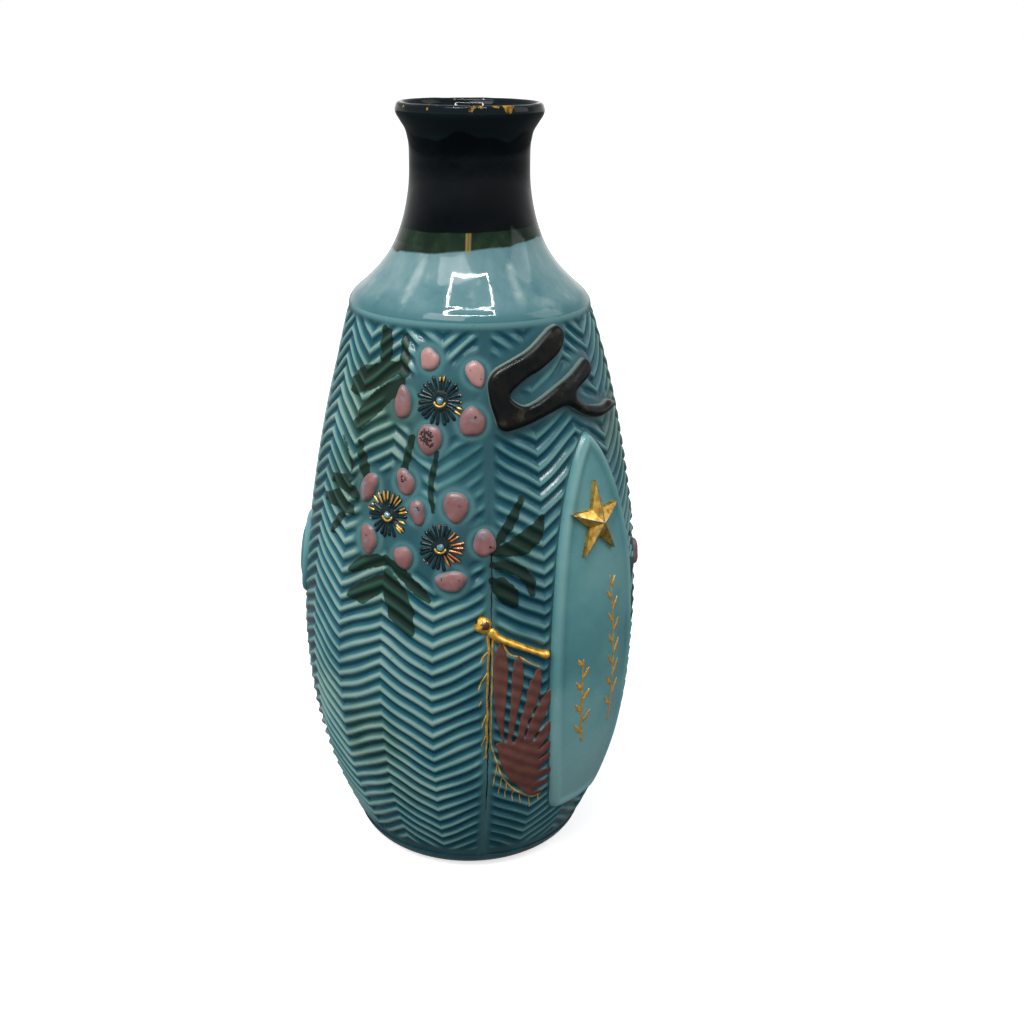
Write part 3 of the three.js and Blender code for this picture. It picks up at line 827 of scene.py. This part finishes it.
def make_half(name, node, angles):
    """One moulded half of the body: a ribbed skin whose rows follow the chevrons, and a plain inside."""
    rows_per_rib = 9
    levels = np.linspace(BASE_TOP, SHOULDER_EDGE, int((SHOULDER_EDGE - BASE_TOP) / RIB_PITCH * rows_per_rib))
    shear = RIB_DROP / 2 * smoothstep(BASE_TOP, BASE_TOP + 12, levels)
    shear = shear * smoothstep(SHOULDER_EDGE, SHOULDER_EDGE - 12, levels)
    angle = angles[None, :] + 0 * levels[:, None]
    height = levels[:, None] + shear[:, None] * zigzag(angle)
    radius, pool, ribs = glazed(angle, height)
    rows, columns = angle.shape
    skin = on_bottle(angle, radius, height).reshape(-1, 3)
    loop, places = border(rows, columns)
    edge_angle, edge_height = angle.ravel()[loop], height.ravel()[loop]
    inside = lambda z: body_radius(z) - WALL
    rim = on_bottle(edge_angle, inside(edge_height), edge_height)
    low, high = angles[0], angles[-1]
    inner_angle = np.linspace(low + 2, high - 2, 31)[None, :]
    inner_height = np.linspace(BASE_TOP + 1.5, SHOULDER_EDGE - 1.5, 25)[:, None]
    inner_angle, inner_height = np.broadcast_arrays(inner_angle, inner_height)
    lining = on_bottle(inner_angle, inside(inner_height), inner_height).reshape(-1, 3)
    lining_first = len(skin) + len(rim)
    rim_loop = list(range(len(skin), lining_first))
    lining_loop, lining_places = border(*inner_angle.shape, lining_first)
    faces = grid_faces(rows, columns) + band(loop, rim_loop) + grid_faces(*inner_angle.shape, lining_first)
    faces += zipped(rim_loop, places, lining_loop, lining_places)
    points = np.concatenate([skin, rim, lining])
    plain = len(rim) + len(lining)
    leaf, shade = leaf_fields(angle, height)
    fields = {"pool": pool, "ribs": ribs, "leaf": leaf, "shade": shade, "thin": thin_rims(angle, height)}
    attributes = {key: np.concatenate([values.ravel(), np.zeros(plain)]) for key, values in fields.items()}
    return make_piece(name, points, faces, BODY_GLAZE, "turquoise_glaze", [node], attributes)


front_edge, back_edge = SEAM_ANGLE, SEAM_ANGLE + 180
make_half(
    "ribbed_half_left", "body_half_left",
    np.concatenate([np.arange(back_edge - 360, -144, COARSE), np.arange(-144, front_edge + 0.1, FINE)]),
)
make_half(
    "ribbed_half_right", "body_half_right",
    np.concatenate([np.arange(front_edge, 66, FINE), np.arange(66, back_edge + 0.1, COARSE)]),
)

# ---- shoulder, neck and foot --------------------------------------------------------------------------
TURNS = 192
DRIPS = [(-52.2, 0.24), (-49.8, 0.3)]
RIM_WEAR = [(-48.6, 2.2, 0.9), (-42, 1.8, 0.9), (-19, 4.5, 1.2), (-82, 5, 0.3), (-108, 5, 0.3), (30, 6, 0.4)]
SHEER_STREAKS = [(-84, 5, 0.9), (-22, 5, 0.75), (48, 6, 0.7), (150, 7, 0.8)]
RIM_CHIPS = [(-46.4, 1.6, 0.35), (-39, 1.3, 0.2), (-20, 4, 0.12), (-74, 5, 0.1)]


def angle_gap(angle, centre):
    return np.abs((angle - centre + 180) % 360 - 180)


def shoulder_profile():
    bottom = SHOULDER_EDGE + 0.01
    outside = [(neck_radius(z), z) for z in np.linspace(NECK_OUTLINE[0][0], SHOULDER_TOP, 48)]
    inside = [(bore_radius(z), z) for z in np.linspace(SHOULDER_TOP, NECK_OUTLINE[0][0], 10)]
    return [(21.9, bottom), (BODY_OUTLINE[-1][1], bottom), *outside, *inside]


def neck_profile():
    lip_height = NECK_OUTLINE[-1][0]
    outside = [(neck_radius(z), z) for z in np.linspace(SHOULDER_TOP, lip_height, 84)]
    rise = HEIGHT - lip_height
    turn = np.linspace(0, math.pi, 11)[1:-1]
    rim = [(RIM_RADIUS + RIM_ROUND * math.cos(t), lip_height + rise * math.sin(t)) for t in turn]
    inside = [(bore_radius(z), z) for z in np.linspace(lip_height, SHOULDER_TOP, 40)]
    return [*outside, *rim, *inside]


def uneven_neck(angle, radius, height):
    """The hand-thrown neck: a slightly wavy lip with small chips."""
    turn = np.radians(angle)
    top = smoothstep(158, 164, height)
    wave = 0.16 * np.sin(3 * turn + 0.6) + 0.1 * np.sin(7 * turn + 2) + 0.05 * np.sin(17 * turn)
    chip = sum(depth * bell(angle_gap(angle, a), width) for a, width, depth in RIM_CHIPS)
    edge = smoothstep(162.8, 164.6, height)
    glaze_roll = 0.05 * bell(height - 158 - 0.8 * np.sin(5 * turn) - 0.4 * np.sin(11 * turn), 0.7)
    outer = radius > bore_radius(height) + 1
    radius = radius + np.where(outer, 0.4 * top * wave - 0.6 * edge * chip + glaze_roll, 0)
    return on_bottle(angle, radius, height - 0.35 * edge * (wave.clip(0) + chip))


def neck_attributes(points):
    angle = np.degrees(np.arctan2(points[:, 0], -points[:, 1]))
    height, radius = points[:, 2], np.hypot(points[:, 0], points[:, 1])
    rim = smoothstep(163, 164.2, height) * smoothstep(12.6, 13.4, radius)
    marked = lambda marks: sum(strength * bell(angle_gap(angle, a), width) for a, width, strength in marks)
    crest = bell(radius - RIM_RADIUS - 0.3, 0.3) * smoothstep(164, 164.6, height)
    worn = np.clip(rim * marked(RIM_WEAR) + 0.35 * crest, 0, 1)
    drip = np.zeros(len(points))
    for a, width in DRIPS:
        gap = np.radians(angle_gap(angle, a)) * radius
        drip = np.maximum(drip, smoothstep(width, width * 0.5, gap))
    drip = drip * smoothstep(137, 137.6, height) * smoothstep(141.6, 141.2, height) * 0.9
    sheer = marked(SHEER_STREAKS) * smoothstep(126, 130, height) * smoothstep(138, 133, height)
    slope = np.sin(np.radians(angle + 50))
    waves = np.sin(np.radians(5 * angle)) + 0.5 * np.sin(np.radians(11 * angle + 40))
    return {
        "worn": worn, "drip": drip, "sheer": sheer, "olive": height - 137.5 - 1.5 * slope,
        "black": height - 141 - 0.45 * slope, "lip": height - 159 - 0.8 * waves,
    }


for piece_name, node, material, slot, profile, bend in (
    ("glazed_shoulder", "shoulder", SHOULDER_GLAZE, "pale_glaze", shoulder_profile(), on_bottle),
    ("glazed_neck", "neck", NECK_GLAZE, "black_glaze", neck_profile(), uneven_neck),
):
    points, faces = revolve(profile, TURNS * 2, bend)
    make_piece(piece_name, points, faces, material, slot, [node], neck_attributes(points))


def foot_profile():
    ring_inside = FOOT_RADIUS - FOOT_RING
    slab_radius = BODY_OUTLINE[0][1]
    heel = []
    for t in np.linspace(0, 1, 12):
        radius = (1 - t) ** 2 * FOOT_RADIUS + 2 * t * (1 - t) * (slab_radius - 1.2) + t * t * slab_radius
        heel.append((radius, 2 * t * (1 - t) * 0.6 + t * t * BASE_TOP))
    recess = [(0, FOOT_RECESS)] + [(r, FOOT_RECESS) for r in np.linspace(4, ring_inside - 0.6, 5)]
    foot = [(ring_inside - 0.15, 0.25), (ring_inside, 0.05), (ring_inside + 0.25, 0), (FOOT_RADIUS - 1.5, 0)]
    return [*recess, *foot, *heel, (22, BASE_TOP), (0, BASE_TOP)]


make_piece("foot_slab", *revolve(foot_profile(), TURNS), FOOT, "turquoise_glaze", ["base_slab"])

# ---- raised decoration --------------------------------------------------------------------------------
PANEL_LIFTS = [
    (0, 0.02), (0.25, 0.5), (0.55, 0.95), (0.95, 1.2), (1.5, 1.3), (2.1, 1.22), (2.7, 0.98),
    (3.3, 0.86), (5, 0.9), (9, 1.1), (13, 1.2),
]
panel_lift = np.array(PANEL_LIFTS).T


def panel_radius(angle, height):
    """The panel's glazed face."""
    gap = outline_distance(*local(PANEL_CENTRE, angle, height), panel_outline)
    return glazed_radius(angle, height) + np.interp(gap, *panel_lift)


def make_smooth_relief(name, node, centre, outline, lifts, spacing, rings, pools):
    """A smooth glazed relief. Pools are how thick its glaze lies at distances from its outline."""
    points, faces, gap = inflated(centre, outline, lifts, spacing, rings)
    attributes = {"pool": np.interp(gap, *np.array(pools, float).T), "panel": np.ones(len(points))}
    make_piece(name, points, faces, BODY_GLAZE, "turquoise_glaze", [node], attributes)


def make_panel():
    rings = (0.12, 0.25, 0.4, 0.55, 0.75, 0.95, 1.2, 1.5, 1.8, 2.1, 2.4, 2.7, 3, 3.3)
    pools = [(0, 0.6), (0.5, 0.42), (1.2, 0.26), (1.8, 0.34), (2.9, 0.56), (4, 0.5), (9, 0.44)]
    relief = (PANEL_CENTRE, panel_outline, PANEL_LIFTS, 0.9, rings, pools)
    make_smooth_relief("smooth_panel", "arched_panel", *relief)


def make_bough():
    lifts = [(0, 0.02), (0.12, 0.75), (0.3, 1.2), (0.6, 1.5), (1.1, 1.68), (2.4, 1.8)]
    rings = (0.1, 0.2, 0.35, 0.5, 0.7, 0.9, 1.2)
    points, faces, gap = inflated(bough_centre, bough_outline, lifts, 0.6, rings)
    # Painted highlight: a pale rim along the bough's outline, the glaze edge's reflection put into the
    # colour.
    edge = {"edge": 0.85 * smoothstep(0.22, 0.05, gap)}
    make_piece("black_bough", points, faces, BLACK, "black_glaze", ["bough"], edge)


def make_boss():
    outline = oval(*BOSS_SIZE, 0, 5, 96, 0.15)
    lifts = [
        (0, 0.02), (0.25, 0.5), (0.6, 0.95), (1.1, 1.15), (1.6, 1.05), (2.1, 0.95), (3.2, 1.3), (5, 1.8),
        (8, 2.1),
    ]
    rings = (0.12, 0.25, 0.45, 0.7, 1, 1.3, 1.7, 2.1, 2.6)
    pools = [(0, 0.6), (0.5, 0.4), (1.1, 0.3), (1.6, 0.45), (2.2, 0.55), (3.5, 0.45), (8, 0.38)]
    make_smooth_relief("plain_boss", "boss", BOSS_CENTRE, outline, lifts, 0.7, rings, pools)


# Bubbled spots on each petal: sideways and up from its middle, radius, strength.
BURSTS = {
    "top_1": [(0.4, 0.9, 0.5, 0.6)],
    "top_2": [(0.9, -0.9, 0.35, 1), (-0.9, 0.8, 0.4, 0.6)],
    "top_3": [(0.7, 1, 0.5, 0.9), (1.5, 1.2, 0.4, 0.6)],
    "top_4": [(-0.5, 0.7, 1.9, 1.2), (0.4, -0.6, 1, 1.1)],
    "top_5": [],
    "left_1": [(0.3, -2.1, 0.4, 1)],
    "left_2": [(-0.2, 0.9, 1.1, 0.9)],
    "left_3": [(0.1, 0.9, 0.8, 0.9)],
    "left_4": [(0.4, 0.6, 0.5, 0.4)],
    "left_5": [(0.1, 1, 0.9, 0.6)],
    "low_1": [(-1.2, 1.2, 0.4, 1), (0.9, 0.4, 0.6, 0.6)],
    "low_2": [(1.3, -0.6, 0.8, 0.9), (0.8, 1.4, 0.5, 0.6)],
    "low_3": [(-1.9, 0.6, 0.4, 1), (1.6, 0.3, 0.7, 0.7)],
}


PALE_ABOVE = 114


def make_petal(name, node, row, bursts, seed):
    a, z, w, h, tilt = row
    lifts = [(0, 0.02), (0.15, 0.4), (0.4, 0.68), (0.8, 0.9), (1.4, 1.02), (2.2, 1.08)]
    points, faces, gap = inflated((a, z), oval(w, h, tilt, seed), lifts, 0.45, (0.08, 0.18, 0.3, 0.5, 0.75))
    angle = np.degrees(np.arctan2(points[:, 0], -points[:, 1]))
    x, y = local((a, z), angle, points[:, 2])
    burst = np.zeros(len(points))
    for bx, by, radius, strength in bursts:
        burst = np.maximum(burst, strength * smoothstep(radius, radius * 0.6, np.hypot(x - bx, y - by)))
    pale = np.full(len(points), 0.7 if z > PALE_ABOVE else 0.1)
    attributes = {"edge": 0.9 * smoothstep(0.2, 0.04, gap), "burst": burst, "pale": pale}
    make_piece(name, points, faces, PINK, "pink_enamel", [node], attributes)


FILAMENTS = 23
FILAMENT_CREST = 0.33


def raised_radius(angle, height):
    """The level that gilding lies at on the filaments."""
    return glazed_radius(angle, height) + FILAMENT_CREST


def make_stamens(name, node, centre, gilt, seed):
    """A blossom's middle: filaments round an eye, some with gilt on them. Gilt is (from, to, start).
    Returns the gilt arc on the eye, and the gilt tips."""
    rng = np.random.default_rng(seed)
    spot = lambda r, t: from_local(centre, r * math.cos(t), r * math.sin(t))
    filaments, tips = [], []
    for i in range(FILAMENTS):
        turn = 2 * math.pi * (i + rng.uniform(-0.16, 0.16)) / FILAMENTS
        reach = rng.uniform(4.3, 5)
        sway = turn + rng.uniform(-0.05, 0.05)
        path = [(*spot(1.15, turn), 0.2), (*spot(2.6, (turn + sway) / 2), 0.3), (*spot(reach, sway), 0.44)]
        filaments.append(bead(path, 0.45, sides=6))
        for low, high, start in gilt:
            if low <= math.degrees(turn) <= high:
                start = start + rng.uniform(-0.3, 0.4)
                stops = [(start, 0.12), ((start + reach) / 2, 0.2), (reach, 0.16)]
                tips.append(bead([(*spot(r, sway), w) for r, w in stops], 0.3, raised_radius, sides=6))
    disc = inflated(centre, oval(2.1, 2.1, 0, seed), [(0, 0.03), (0.4, 0.25), (2.1, 0.4)], 0.5, (0.2, 0.4))
    make_piece(name, *joined([*filaments, disc[:2]]), STAMEN, "stamen_glaze", [node])
    domed = [(0, 0.3), (0.2, 0.7), (0.72, 1)]
    eye = inflated(centre, oval(0.72, 0.72, 0, seed), domed, 0.25, (0.1, 0.2, 0.35))
    make_piece(name + "_eye", *eye[:2], EYE, "stamen_glaze")
    ring = [(*spot(1.1, t), 0.22) for t in np.radians(np.linspace(190, 350, 9))]
    return bead(ring, 0.4, raised_radius, spacing=0.25, sides=6), tips


make_panel()
make_bough()
make_boss()

GILT_TIPS = {
    "top": [(0, 30, 3.9), (315, 352, 3.6), (75, 100, 3.8), (175, 190, 4.1)],
    "left": [(0, 130, 2.6), (130, 180, 3.3), (300, 361, 2.8), (200, 215, 3.8)],
    "low": [(0, 50, 2.2), (290, 361, 1.8), (85, 110, 3.6), (215, 240, 3.9)],
}
for far, rows, first in (("", PETALS, 0), ("far_", FAR_PETALS, 40)):
    for seed, (name, row) in enumerate(rows.items(), first):
        bursts = [(-x if far else x, *rest) for x, *rest in BURSTS[name]]
        make_petal(f"enamel_petal_{far}{name}", f"petal_{far}{name}", row, bursts, seed)

gold_parts, copper_parts = [], []
for far, centres, first in (("", STAMENS, 80), ("far_", FAR_STAMENS, 90)):
    for seed, (name, centre) in enumerate(centres.items(), first):
        piece_name, node = f"filaments_{far}{name}", f"stamens_{far}{name}"
        arc, tips = make_stamens(piece_name, node, centre, GILT_TIPS[name], seed)
        gold_parts.append(arc)
        (copper_parts if name == "low" else gold_parts).extend(tips)


# Facets turned away from the key light, mixed towards grey-blue as rubbed gilding and as painted shade: arm,
# and side of its ridge.
RUBBED_AND_SHADED_FACETS = [(0, -1), (2, 1), (3, 1), (4, -1)]


def make_star():
    """A five-armed star, each arm a ridge between two facets."""
    steps, hollow, peak, tip_lift, notch_lift, foot = 9, 0.37, 2.3, 0.95, 0.75, -0.3
    cells = [(i, j) for i in range(steps + 1) for j in range(steps + 1 - i)]
    points, faces, worn = [], [], []
    for arm, side in ((arm, side) for arm in range(5) for side in (-1, 1)):
        turn = math.radians(STAR_TURN + arm * 72)
        notch = turn + side * math.pi / 5
        tip_xy = np.array(STAR_SIZE) * (math.cos(turn), math.sin(turn))
        notch_xy = hollow * np.array(STAR_SIZE) * (math.cos(notch), math.sin(notch))
        at = {cell: len(points) + k for k, cell in enumerate(cells)}
        for i, j in cells:
            u, v = i / steps, j / steps
            points.append((*(u * tip_xy + v * notch_xy), peak * (1 - u - v) + tip_lift * u + notch_lift * v))
            # Partly rubbed gilding, partly painted shade on the facets that face away from the key light.
            rubbed_and_shaded = 0.62 * max(0, 1 - v / 0.45) if (arm, side) in RUBBED_AND_SHADED_FACETS else 0
            worn.append(max(rubbed_and_shaded, 0.75 * max(0, 1 - v / 0.14)) + 0.25 * (u > 0.9))
            if i + j < steps:
                faces.append((at[i, j], at[i + 1, j], at[i, j + 1]))
            if i + j < steps - 1:
                faces.append((at[i + 1, j], at[i + 1, j + 1], at[i, j + 1]))
        rim = [at[i, steps - i] for i in range(steps + 1)]
        feet = list(range(len(points), len(points) + len(rim)))
        points += [(points[k][0] * 1.03, points[k][1] * 1.03, foot) for k in rim] + [(0, 0, foot)]
        worn += [0.2] * len(rim) + [0]
        for a, b, c, d in zip(rim, rim[1:], feet, feet[1:]):
            faces += [(a, b, d, c), (c, d, feet[-1] + 1)]
    flat = np.array(points)
    angle, height = from_local(STAR_CENTRE, flat[:, 0], flat[:, 1])
    solid = on_bottle(angle, panel_radius(angle, height) + flat[:, 2], height)
    piece = make_piece("gilt_star", solid, faces, STAR_GOLD, "gilding", ["star"], {"worn": worn})
    weld = bmesh.new()
    weld.from_mesh(piece.data)
    bmesh.ops.remove_doubles(weld, verts=weld.verts, dist=1e-6)
    bmesh.ops.recalc_face_normals(weld, faces=weld.faces)
    weld.to_mesh(piece.data)
    weld.free()
    piece.data.shade_flat()


make_star()

# ---- the flag and the gilt lines ------------------------------------------------------------------------
SUN_CENTRE = (-30, 33)
SUN_OUTLINE = [
    (-39.3, 38.8), (-37.4, 39.3), (-38.2, 41.5), (-39.3, 44.7), (-40.1, 49.6), (-40.5, 55.5), (-40.3, 59.9),
    (-38.8, 62.4), (-37.2, 60.8), (-36.1, 57.5), (-36.1, 51.7), (-36.8, 44.6), (-36.6, 39.5), (-35.6, 39.5),
    (-35.2, 43.2), (-34.8, 46.8), (-34.7, 51.5), (-34.4, 57), (-32.8, 59.2), (-31.2, 57.2), (-30.9, 53),
    (-31.7, 48.9), (-32.9, 44.2), (-34, 39.2), (-32.6, 39), (-31.3, 44), (-29.9, 47.5), (-29.2, 51),
    (-27.6, 54), (-25.5, 55.8), (-24.7, 53.9), (-25, 50.4), (-26.2, 47), (-28.7, 43.2), (-30.1, 38.9),
    (-29.5, 38.9), (-27.8, 43.1), (-25.5, 46.4), (-22.8, 49.4), (-20.8, 50.2), (-20.7, 48.2), (-22, 45.5),
    (-24, 41.8), (-26.8, 38.4), (-25.7, 38.4), (-22.9, 41.3), (-20.3, 42.5), (-20.2, 40.2), (-21.9, 38),
    (-24.2, 35.6), (-22.6, 36.2), (-19.5, 37.5), (-19.9, 35.6), (-23.9, 32.9), (-22.6, 33.2), (-19.8, 33.9),
    (-20.2, 32.2), (-23.6, 30.2), (-22, 29.9), (-17.8, 30), (-18.6, 28.4), (-24.2, 27.3), (-22.2, 26.8),
    (-18.7, 26.7), (-19.4, 25.4), (-24.3, 24.4), (-22.4, 23.8), (-19.8, 23.9), (-20.4, 22.9), (-23.5, 22.7),
    (-27.4, 23.9), (-31, 26.7), (-34.5, 29.3), (-36.8, 32.3), (-38.8, 37),
]


def enamel_radius(angle, height):
    """Enamel thick enough to half fill the grooves."""
    return 0.3 * glazed_radius(angle, height) + 0.7 * body_radius(height)


def make_sun():
    outline = rounded(to_local(SUN_CENTRE, SUN_OUTLINE), 0.4)
    lifts = [(0, 0), (0.12, 0.1), (0.5, 0.14)]
    points, faces, _ = inflated(SUN_CENTRE, outline, lifts, 0.55, (0.12, 0.3), 0.9, enamel_radius)
    make_piece("red_sun", points, faces, RED, "red_enamel", ["flag_sun"])


make_sun()

STAFF_BALL = [(-45.2, 68.3, 0.9), (-44.5, 67, 1.8), (-44, 65.9, 1.7), (-43.3, 64.8, 1)]
STAFF_SHAFT = [
    (-42.8, 65.6, 0.9), (-41, 64.6, 1), (-39, 63.5, 0.8), (-33.2, 61.6, 0.7), (-27, 59.6, 0.65),
    (-24.4, 58.8, 0.85), (-23.1, 58.4, 1.05), (-22.3, 58.1, 0.8),
]
GOLD_LINES = [
    [(-42.8, 64.5, 0.35), (-42.2, 61, 0.3), (-42.5, 57.5, 0.22), (-42.3, 54.3, 0.28), (-42.5, 50, 0.2),
     (-42.2, 46.1, 0.26), (-42.5, 42.8, 0.3), (-42.2, 40.3, 0.22), (-42.5, 37.5, 0.2), (-42.4, 35, 0.16)],
    [(-42.6, 60.7, 0.16), (-44, 59.6, 0.16), (-45, 58.2, 0.1)],
    [(-42.5, 56.1, 0.2), (-44, 54.3, 0.18), (-45.4, 52, 0.12)],
    [(-44.2, 49.6, 0.12), (-45.2, 48.2, 0.1)],
    [(-42.6, 46.3, 0.16), (-43.5, 44.5, 0.15), (-44.2, 43, 0.1)],
    [(-42.6, 41.4, 0.18), (-43.4, 39.8, 0.15), (-44.3, 38.2, 0.1)],
    [(-42.5, 36, 0.14), (-43.4, 35, 0.1)],
    [(-41.1, 64.2, 0.22), (-41.2, 61, 0.16), (-41.1, 57, 0.12), (-41, 53, 0.14), (-41.1, 49, 0.1),
     (-41, 44.8, 0.12), (-41.1, 41.2, 0.1), (-40.9, 38.6, 0.14)],
    [(-40.9, 38.6, 0.14), (-39.8, 36, 0.16), (-38.6, 33.4, 0.2), (-37.5, 31.2, 0.2), (-36, 29.1, 0.18),
     (-33.6, 26.9, 0.16), (-30.8, 25.1, 0.2), (-27.4, 23.3, 0.2), (-24.4, 22.2, 0.22), (-20.6, 22.1, 0.2)],
    [(-38.6, 33.2, 0.1), (-39.3, 30, 0.12), (-40, 27.2, 0.1)],
    [(-36.6, 30, 0.1), (-37.2, 27, 0.12), (-37.7, 24.9, 0.14)],
    [(-34.9, 28, 0.1), (-35, 25.4, 0.13), (-35.1, 23.6, 0.1)],
    [(-32.1, 25.9, 0.1), (-32.2, 23.6, 0.12), (-32.2, 22, 0.1)],
    [(-29.3, 24.4, 0.1), (-29, 22.2, 0.12), (-28.8, 20.9, 0.1)],
    [(-25.2, 22.6, 0.1), (-24.8, 20.4, 0.13), (-24.5, 18.9, 0.12)],
    [(-21.4, 22.2, 0.12), (-21.2, 20.4, 0.12)],
    [(-20.6, 22.1, 0.18), (-20.2, 23.1, 0.12)],
    [(-41.2, 63.8, 0.35), (-39.2, 62.8, 0.42), (-37.2, 61.3, 0.26), (-35.4, 59.8, 0.14), (-31.7, 58.7, 0.16),
     (-28.3, 57, 0.12), (-24.9, 55.8, 0.1)],
]


def make_flag_lines():
    parts = [bead(STAFF_BALL, 1.3, sides=11, spacing=0.3), bead(STAFF_SHAFT, 1.15, sides=11, spacing=0.3)]
    points, faces = joined(parts)
    gap = np.hypot(points[:, 0] - around(-45, 37, 66.8)[0], points[:, 2] - 66.9)
    worn = smoothstep(1.2, 0.5, gap)
    make_piece("gilt_staff", points, faces, STAFF_GOLD, "gilding", ["flag_staff"], {"worn": worn})
    lines = joined([bead(line, 0.16, sides=6) for line in GOLD_LINES])
    make_piece("gilt_flag_lines", *lines, LINE_GOLD, "gilding")


make_flag_lines()


def sprig(base, tip, bend, leaves, size):
    """A plain brushed sprig: a curved stem with leaf strokes on alternate sides."""
    (a0, z0), (a1, z1) = base, tip
    on_stem = lambda t: (a0 + (a1 - a0) * t + bend * math.sin(math.pi * t), z0 + (z1 - z0) * t)
    strokes = [[(*on_stem(t), 0.3 - 0.1 * t) for t in np.linspace(0, 1, 9)]]
    for i in range(leaves):
        t = 0.12 + 0.8 * i / (leaves - 1)
        a, z = on_stem(t)
        reach = size * (1 - 0.35 * t)
        across = reach if i % 2 else -reach
        middle = (a + across * 0.8, z + reach * 0.45, 0.5)
        strokes.append([(a, z, 0.16), middle, (a + across * 1.55, z + reach * 1.25, 0.12)])
    return strokes


def make_sprigs():
    right = sprig((6.4, 36), (2.6, 72), 0.8, 12, 2.6)
    left = sprig((-7.6, 34.5), (-9.6, 55.5), -0.6, 7, 2.3)
    parts = joined([bead(line, 0.14, panel_radius, sides=6) for line in [*right, *left]])
    make_piece("gilt_sprigs", *parts, LINE_GOLD, "gilding")


make_sprigs()

make_piece("gilt_stamens", *joined(gold_parts), LINE_GOLD, "gilding")
make_piece("copper_stamens", *joined(copper_parts), COPPER, "gilding")


def make_crack():
    rng = np.random.default_rng(7)
    stations = []
    for z in np.arange(82.4, 19.5, -0.8):
        fade = 1 if z > 24 else 0.5
        drift = -41.75 + 0.1 * (z - 60) / 20
        stations.append((drift + rng.uniform(-0.12, 0.12), z, fade * rng.uniform(0.1, 0.19)))
    make_piece("seam_crack", *bead(stations, 0.05, spacing=0.4, sides=5), CRACK, "turquoise_glaze")


make_crack()


# ---- floor and light -------------------------------------------------------------------------------------
def make_floor():
    reach, rings, turns = 12, 24, 64
    mesh = bpy.data.meshes.new("floor")
    radii = reach * (np.arange(1, rings + 1) / rings) ** 2
    circles = around(np.arange(turns) * 360 / turns, radii[:, None], 0)
    loops = np.arange(1, 1 + rings * turns).reshape(rings, turns).tolist()
    faces = [(0, a, b) for a, b in zip(loops[0], loops[0][1:] + loops[0][:1])]
    for here, there in zip(loops, loops[1:]):
        faces += band(here, there)
    mesh.from_pydata([(0, 0, 0), *circles.reshape(-1, 3).tolist()], [], faces)
    floor = add_object("floor", mesh)
    look = Look("pale_floor", Roughness=0.6, Specular_IOR_Level=0.2)
    colour = look.ramp(look.noise(200, 2), (0.3, "f0f0f0"), (0.7, "f4f4f4"))
    mesh.materials.append(look.wire(Base_Color=colour, Emission_Color=(1, 1, 1, 1), Emission_Strength=0.6))
    floor.location.z = cad_box[0].z
    floor.visible_diffuse = False
    floor.visible_glossy = False


def rectangle_light(name, size, power, matrix):
    light = bpy.data.lights.new(name, "AREA")
    light.shape = "RECTANGLE"
    light.size, light.size_y = size
    light.energy = power
    lamp = add_object(name, light)
    lamp.matrix_world = matrix
    return lamp


def soft_light(name, turn, elevation, size, power):
    """A light 0.9 m from the bottle's middle, turned from the camera's azimuth."""
    distance, target = 900, Vector((0, 0, HEIGHT / 2 * MM))
    rise = math.radians(elevation)
    place = around(CAMERA_AZIMUTH + turn, distance * math.cos(rise), HEIGHT / 2 + distance * math.sin(rise))
    place = Vector(place * MM)
    facing = (place - target).to_track_quat("Z", "Y").to_matrix().to_4x4()
    return rectangle_light(name, size, power, Matrix.Translation(place) @ facing)


STRIP_POWER = 0.00034  # watts for each square millimetre


def make_softbox_rim():
    """Four thin strips of an overhead softbox, which show only as a square outline in the gloss."""
    level = 1030
    corners = [(-300, -430), (300, -430), (205, -43), (-205, -43)]
    strips = [42, 15, 14, 26]
    turn = Matrix.Rotation(math.radians(CAMERA_AZIMUTH), 4, "Z")
    for index, (start, end, strip) in enumerate(zip(corners, corners[1:] + corners[:1], strips)):
        across, along = end[0] - start[0], end[1] - start[1]
        length = math.hypot(across, along)
        middle = Vector(((start[0] + end[0]) / 2, (start[1] + end[1]) / 2, level)) * MM
        facing = Matrix.Translation(middle) @ Matrix.Rotation(math.atan2(along, across), 4, "Z")
        size, power = (length * MM, strip * MM), STRIP_POWER * length * strip
        rectangle_light(f"rim_{index}", size, power, turn @ facing).visible_diffuse = False


def make_world():
    world = bpy.data.worlds.new("studio")
    world.use_nodes = True
    nodes = Nodes(world.node_tree)
    direction = nodes.add("TexCoord").outputs["Generated"]
    upward = nodes.add("SeparateXYZ", {0: direction}).outputs["Z"]
    dark, white, dim = (0.16, 0.17, 0.17, 1), (1, 1, 1, 1), (0.5, 0.51, 0.52, 1)
    sky = nodes.ramp(nodes.spread(upward, -1, 1), (0.4, dark), (0.47, white), (0.58, white), (0.7, dim))
    nodes.set(world.node_tree.nodes["Background"].inputs["Color"], sky)
    bpy.context.scene.world = world
    bpy.context.scene.view_settings.view_transform = "Standard"


make_floor()
make_world()
soft_light("key", -30, 58, (0.5, 0.4), 5)
soft_light("side", -75, 30, (0.5, 0.5), 2.2).visible_glossy = False
soft_light("fill", 88, 36, (0.4, 0.5), 1.8)
make_softbox_rim()
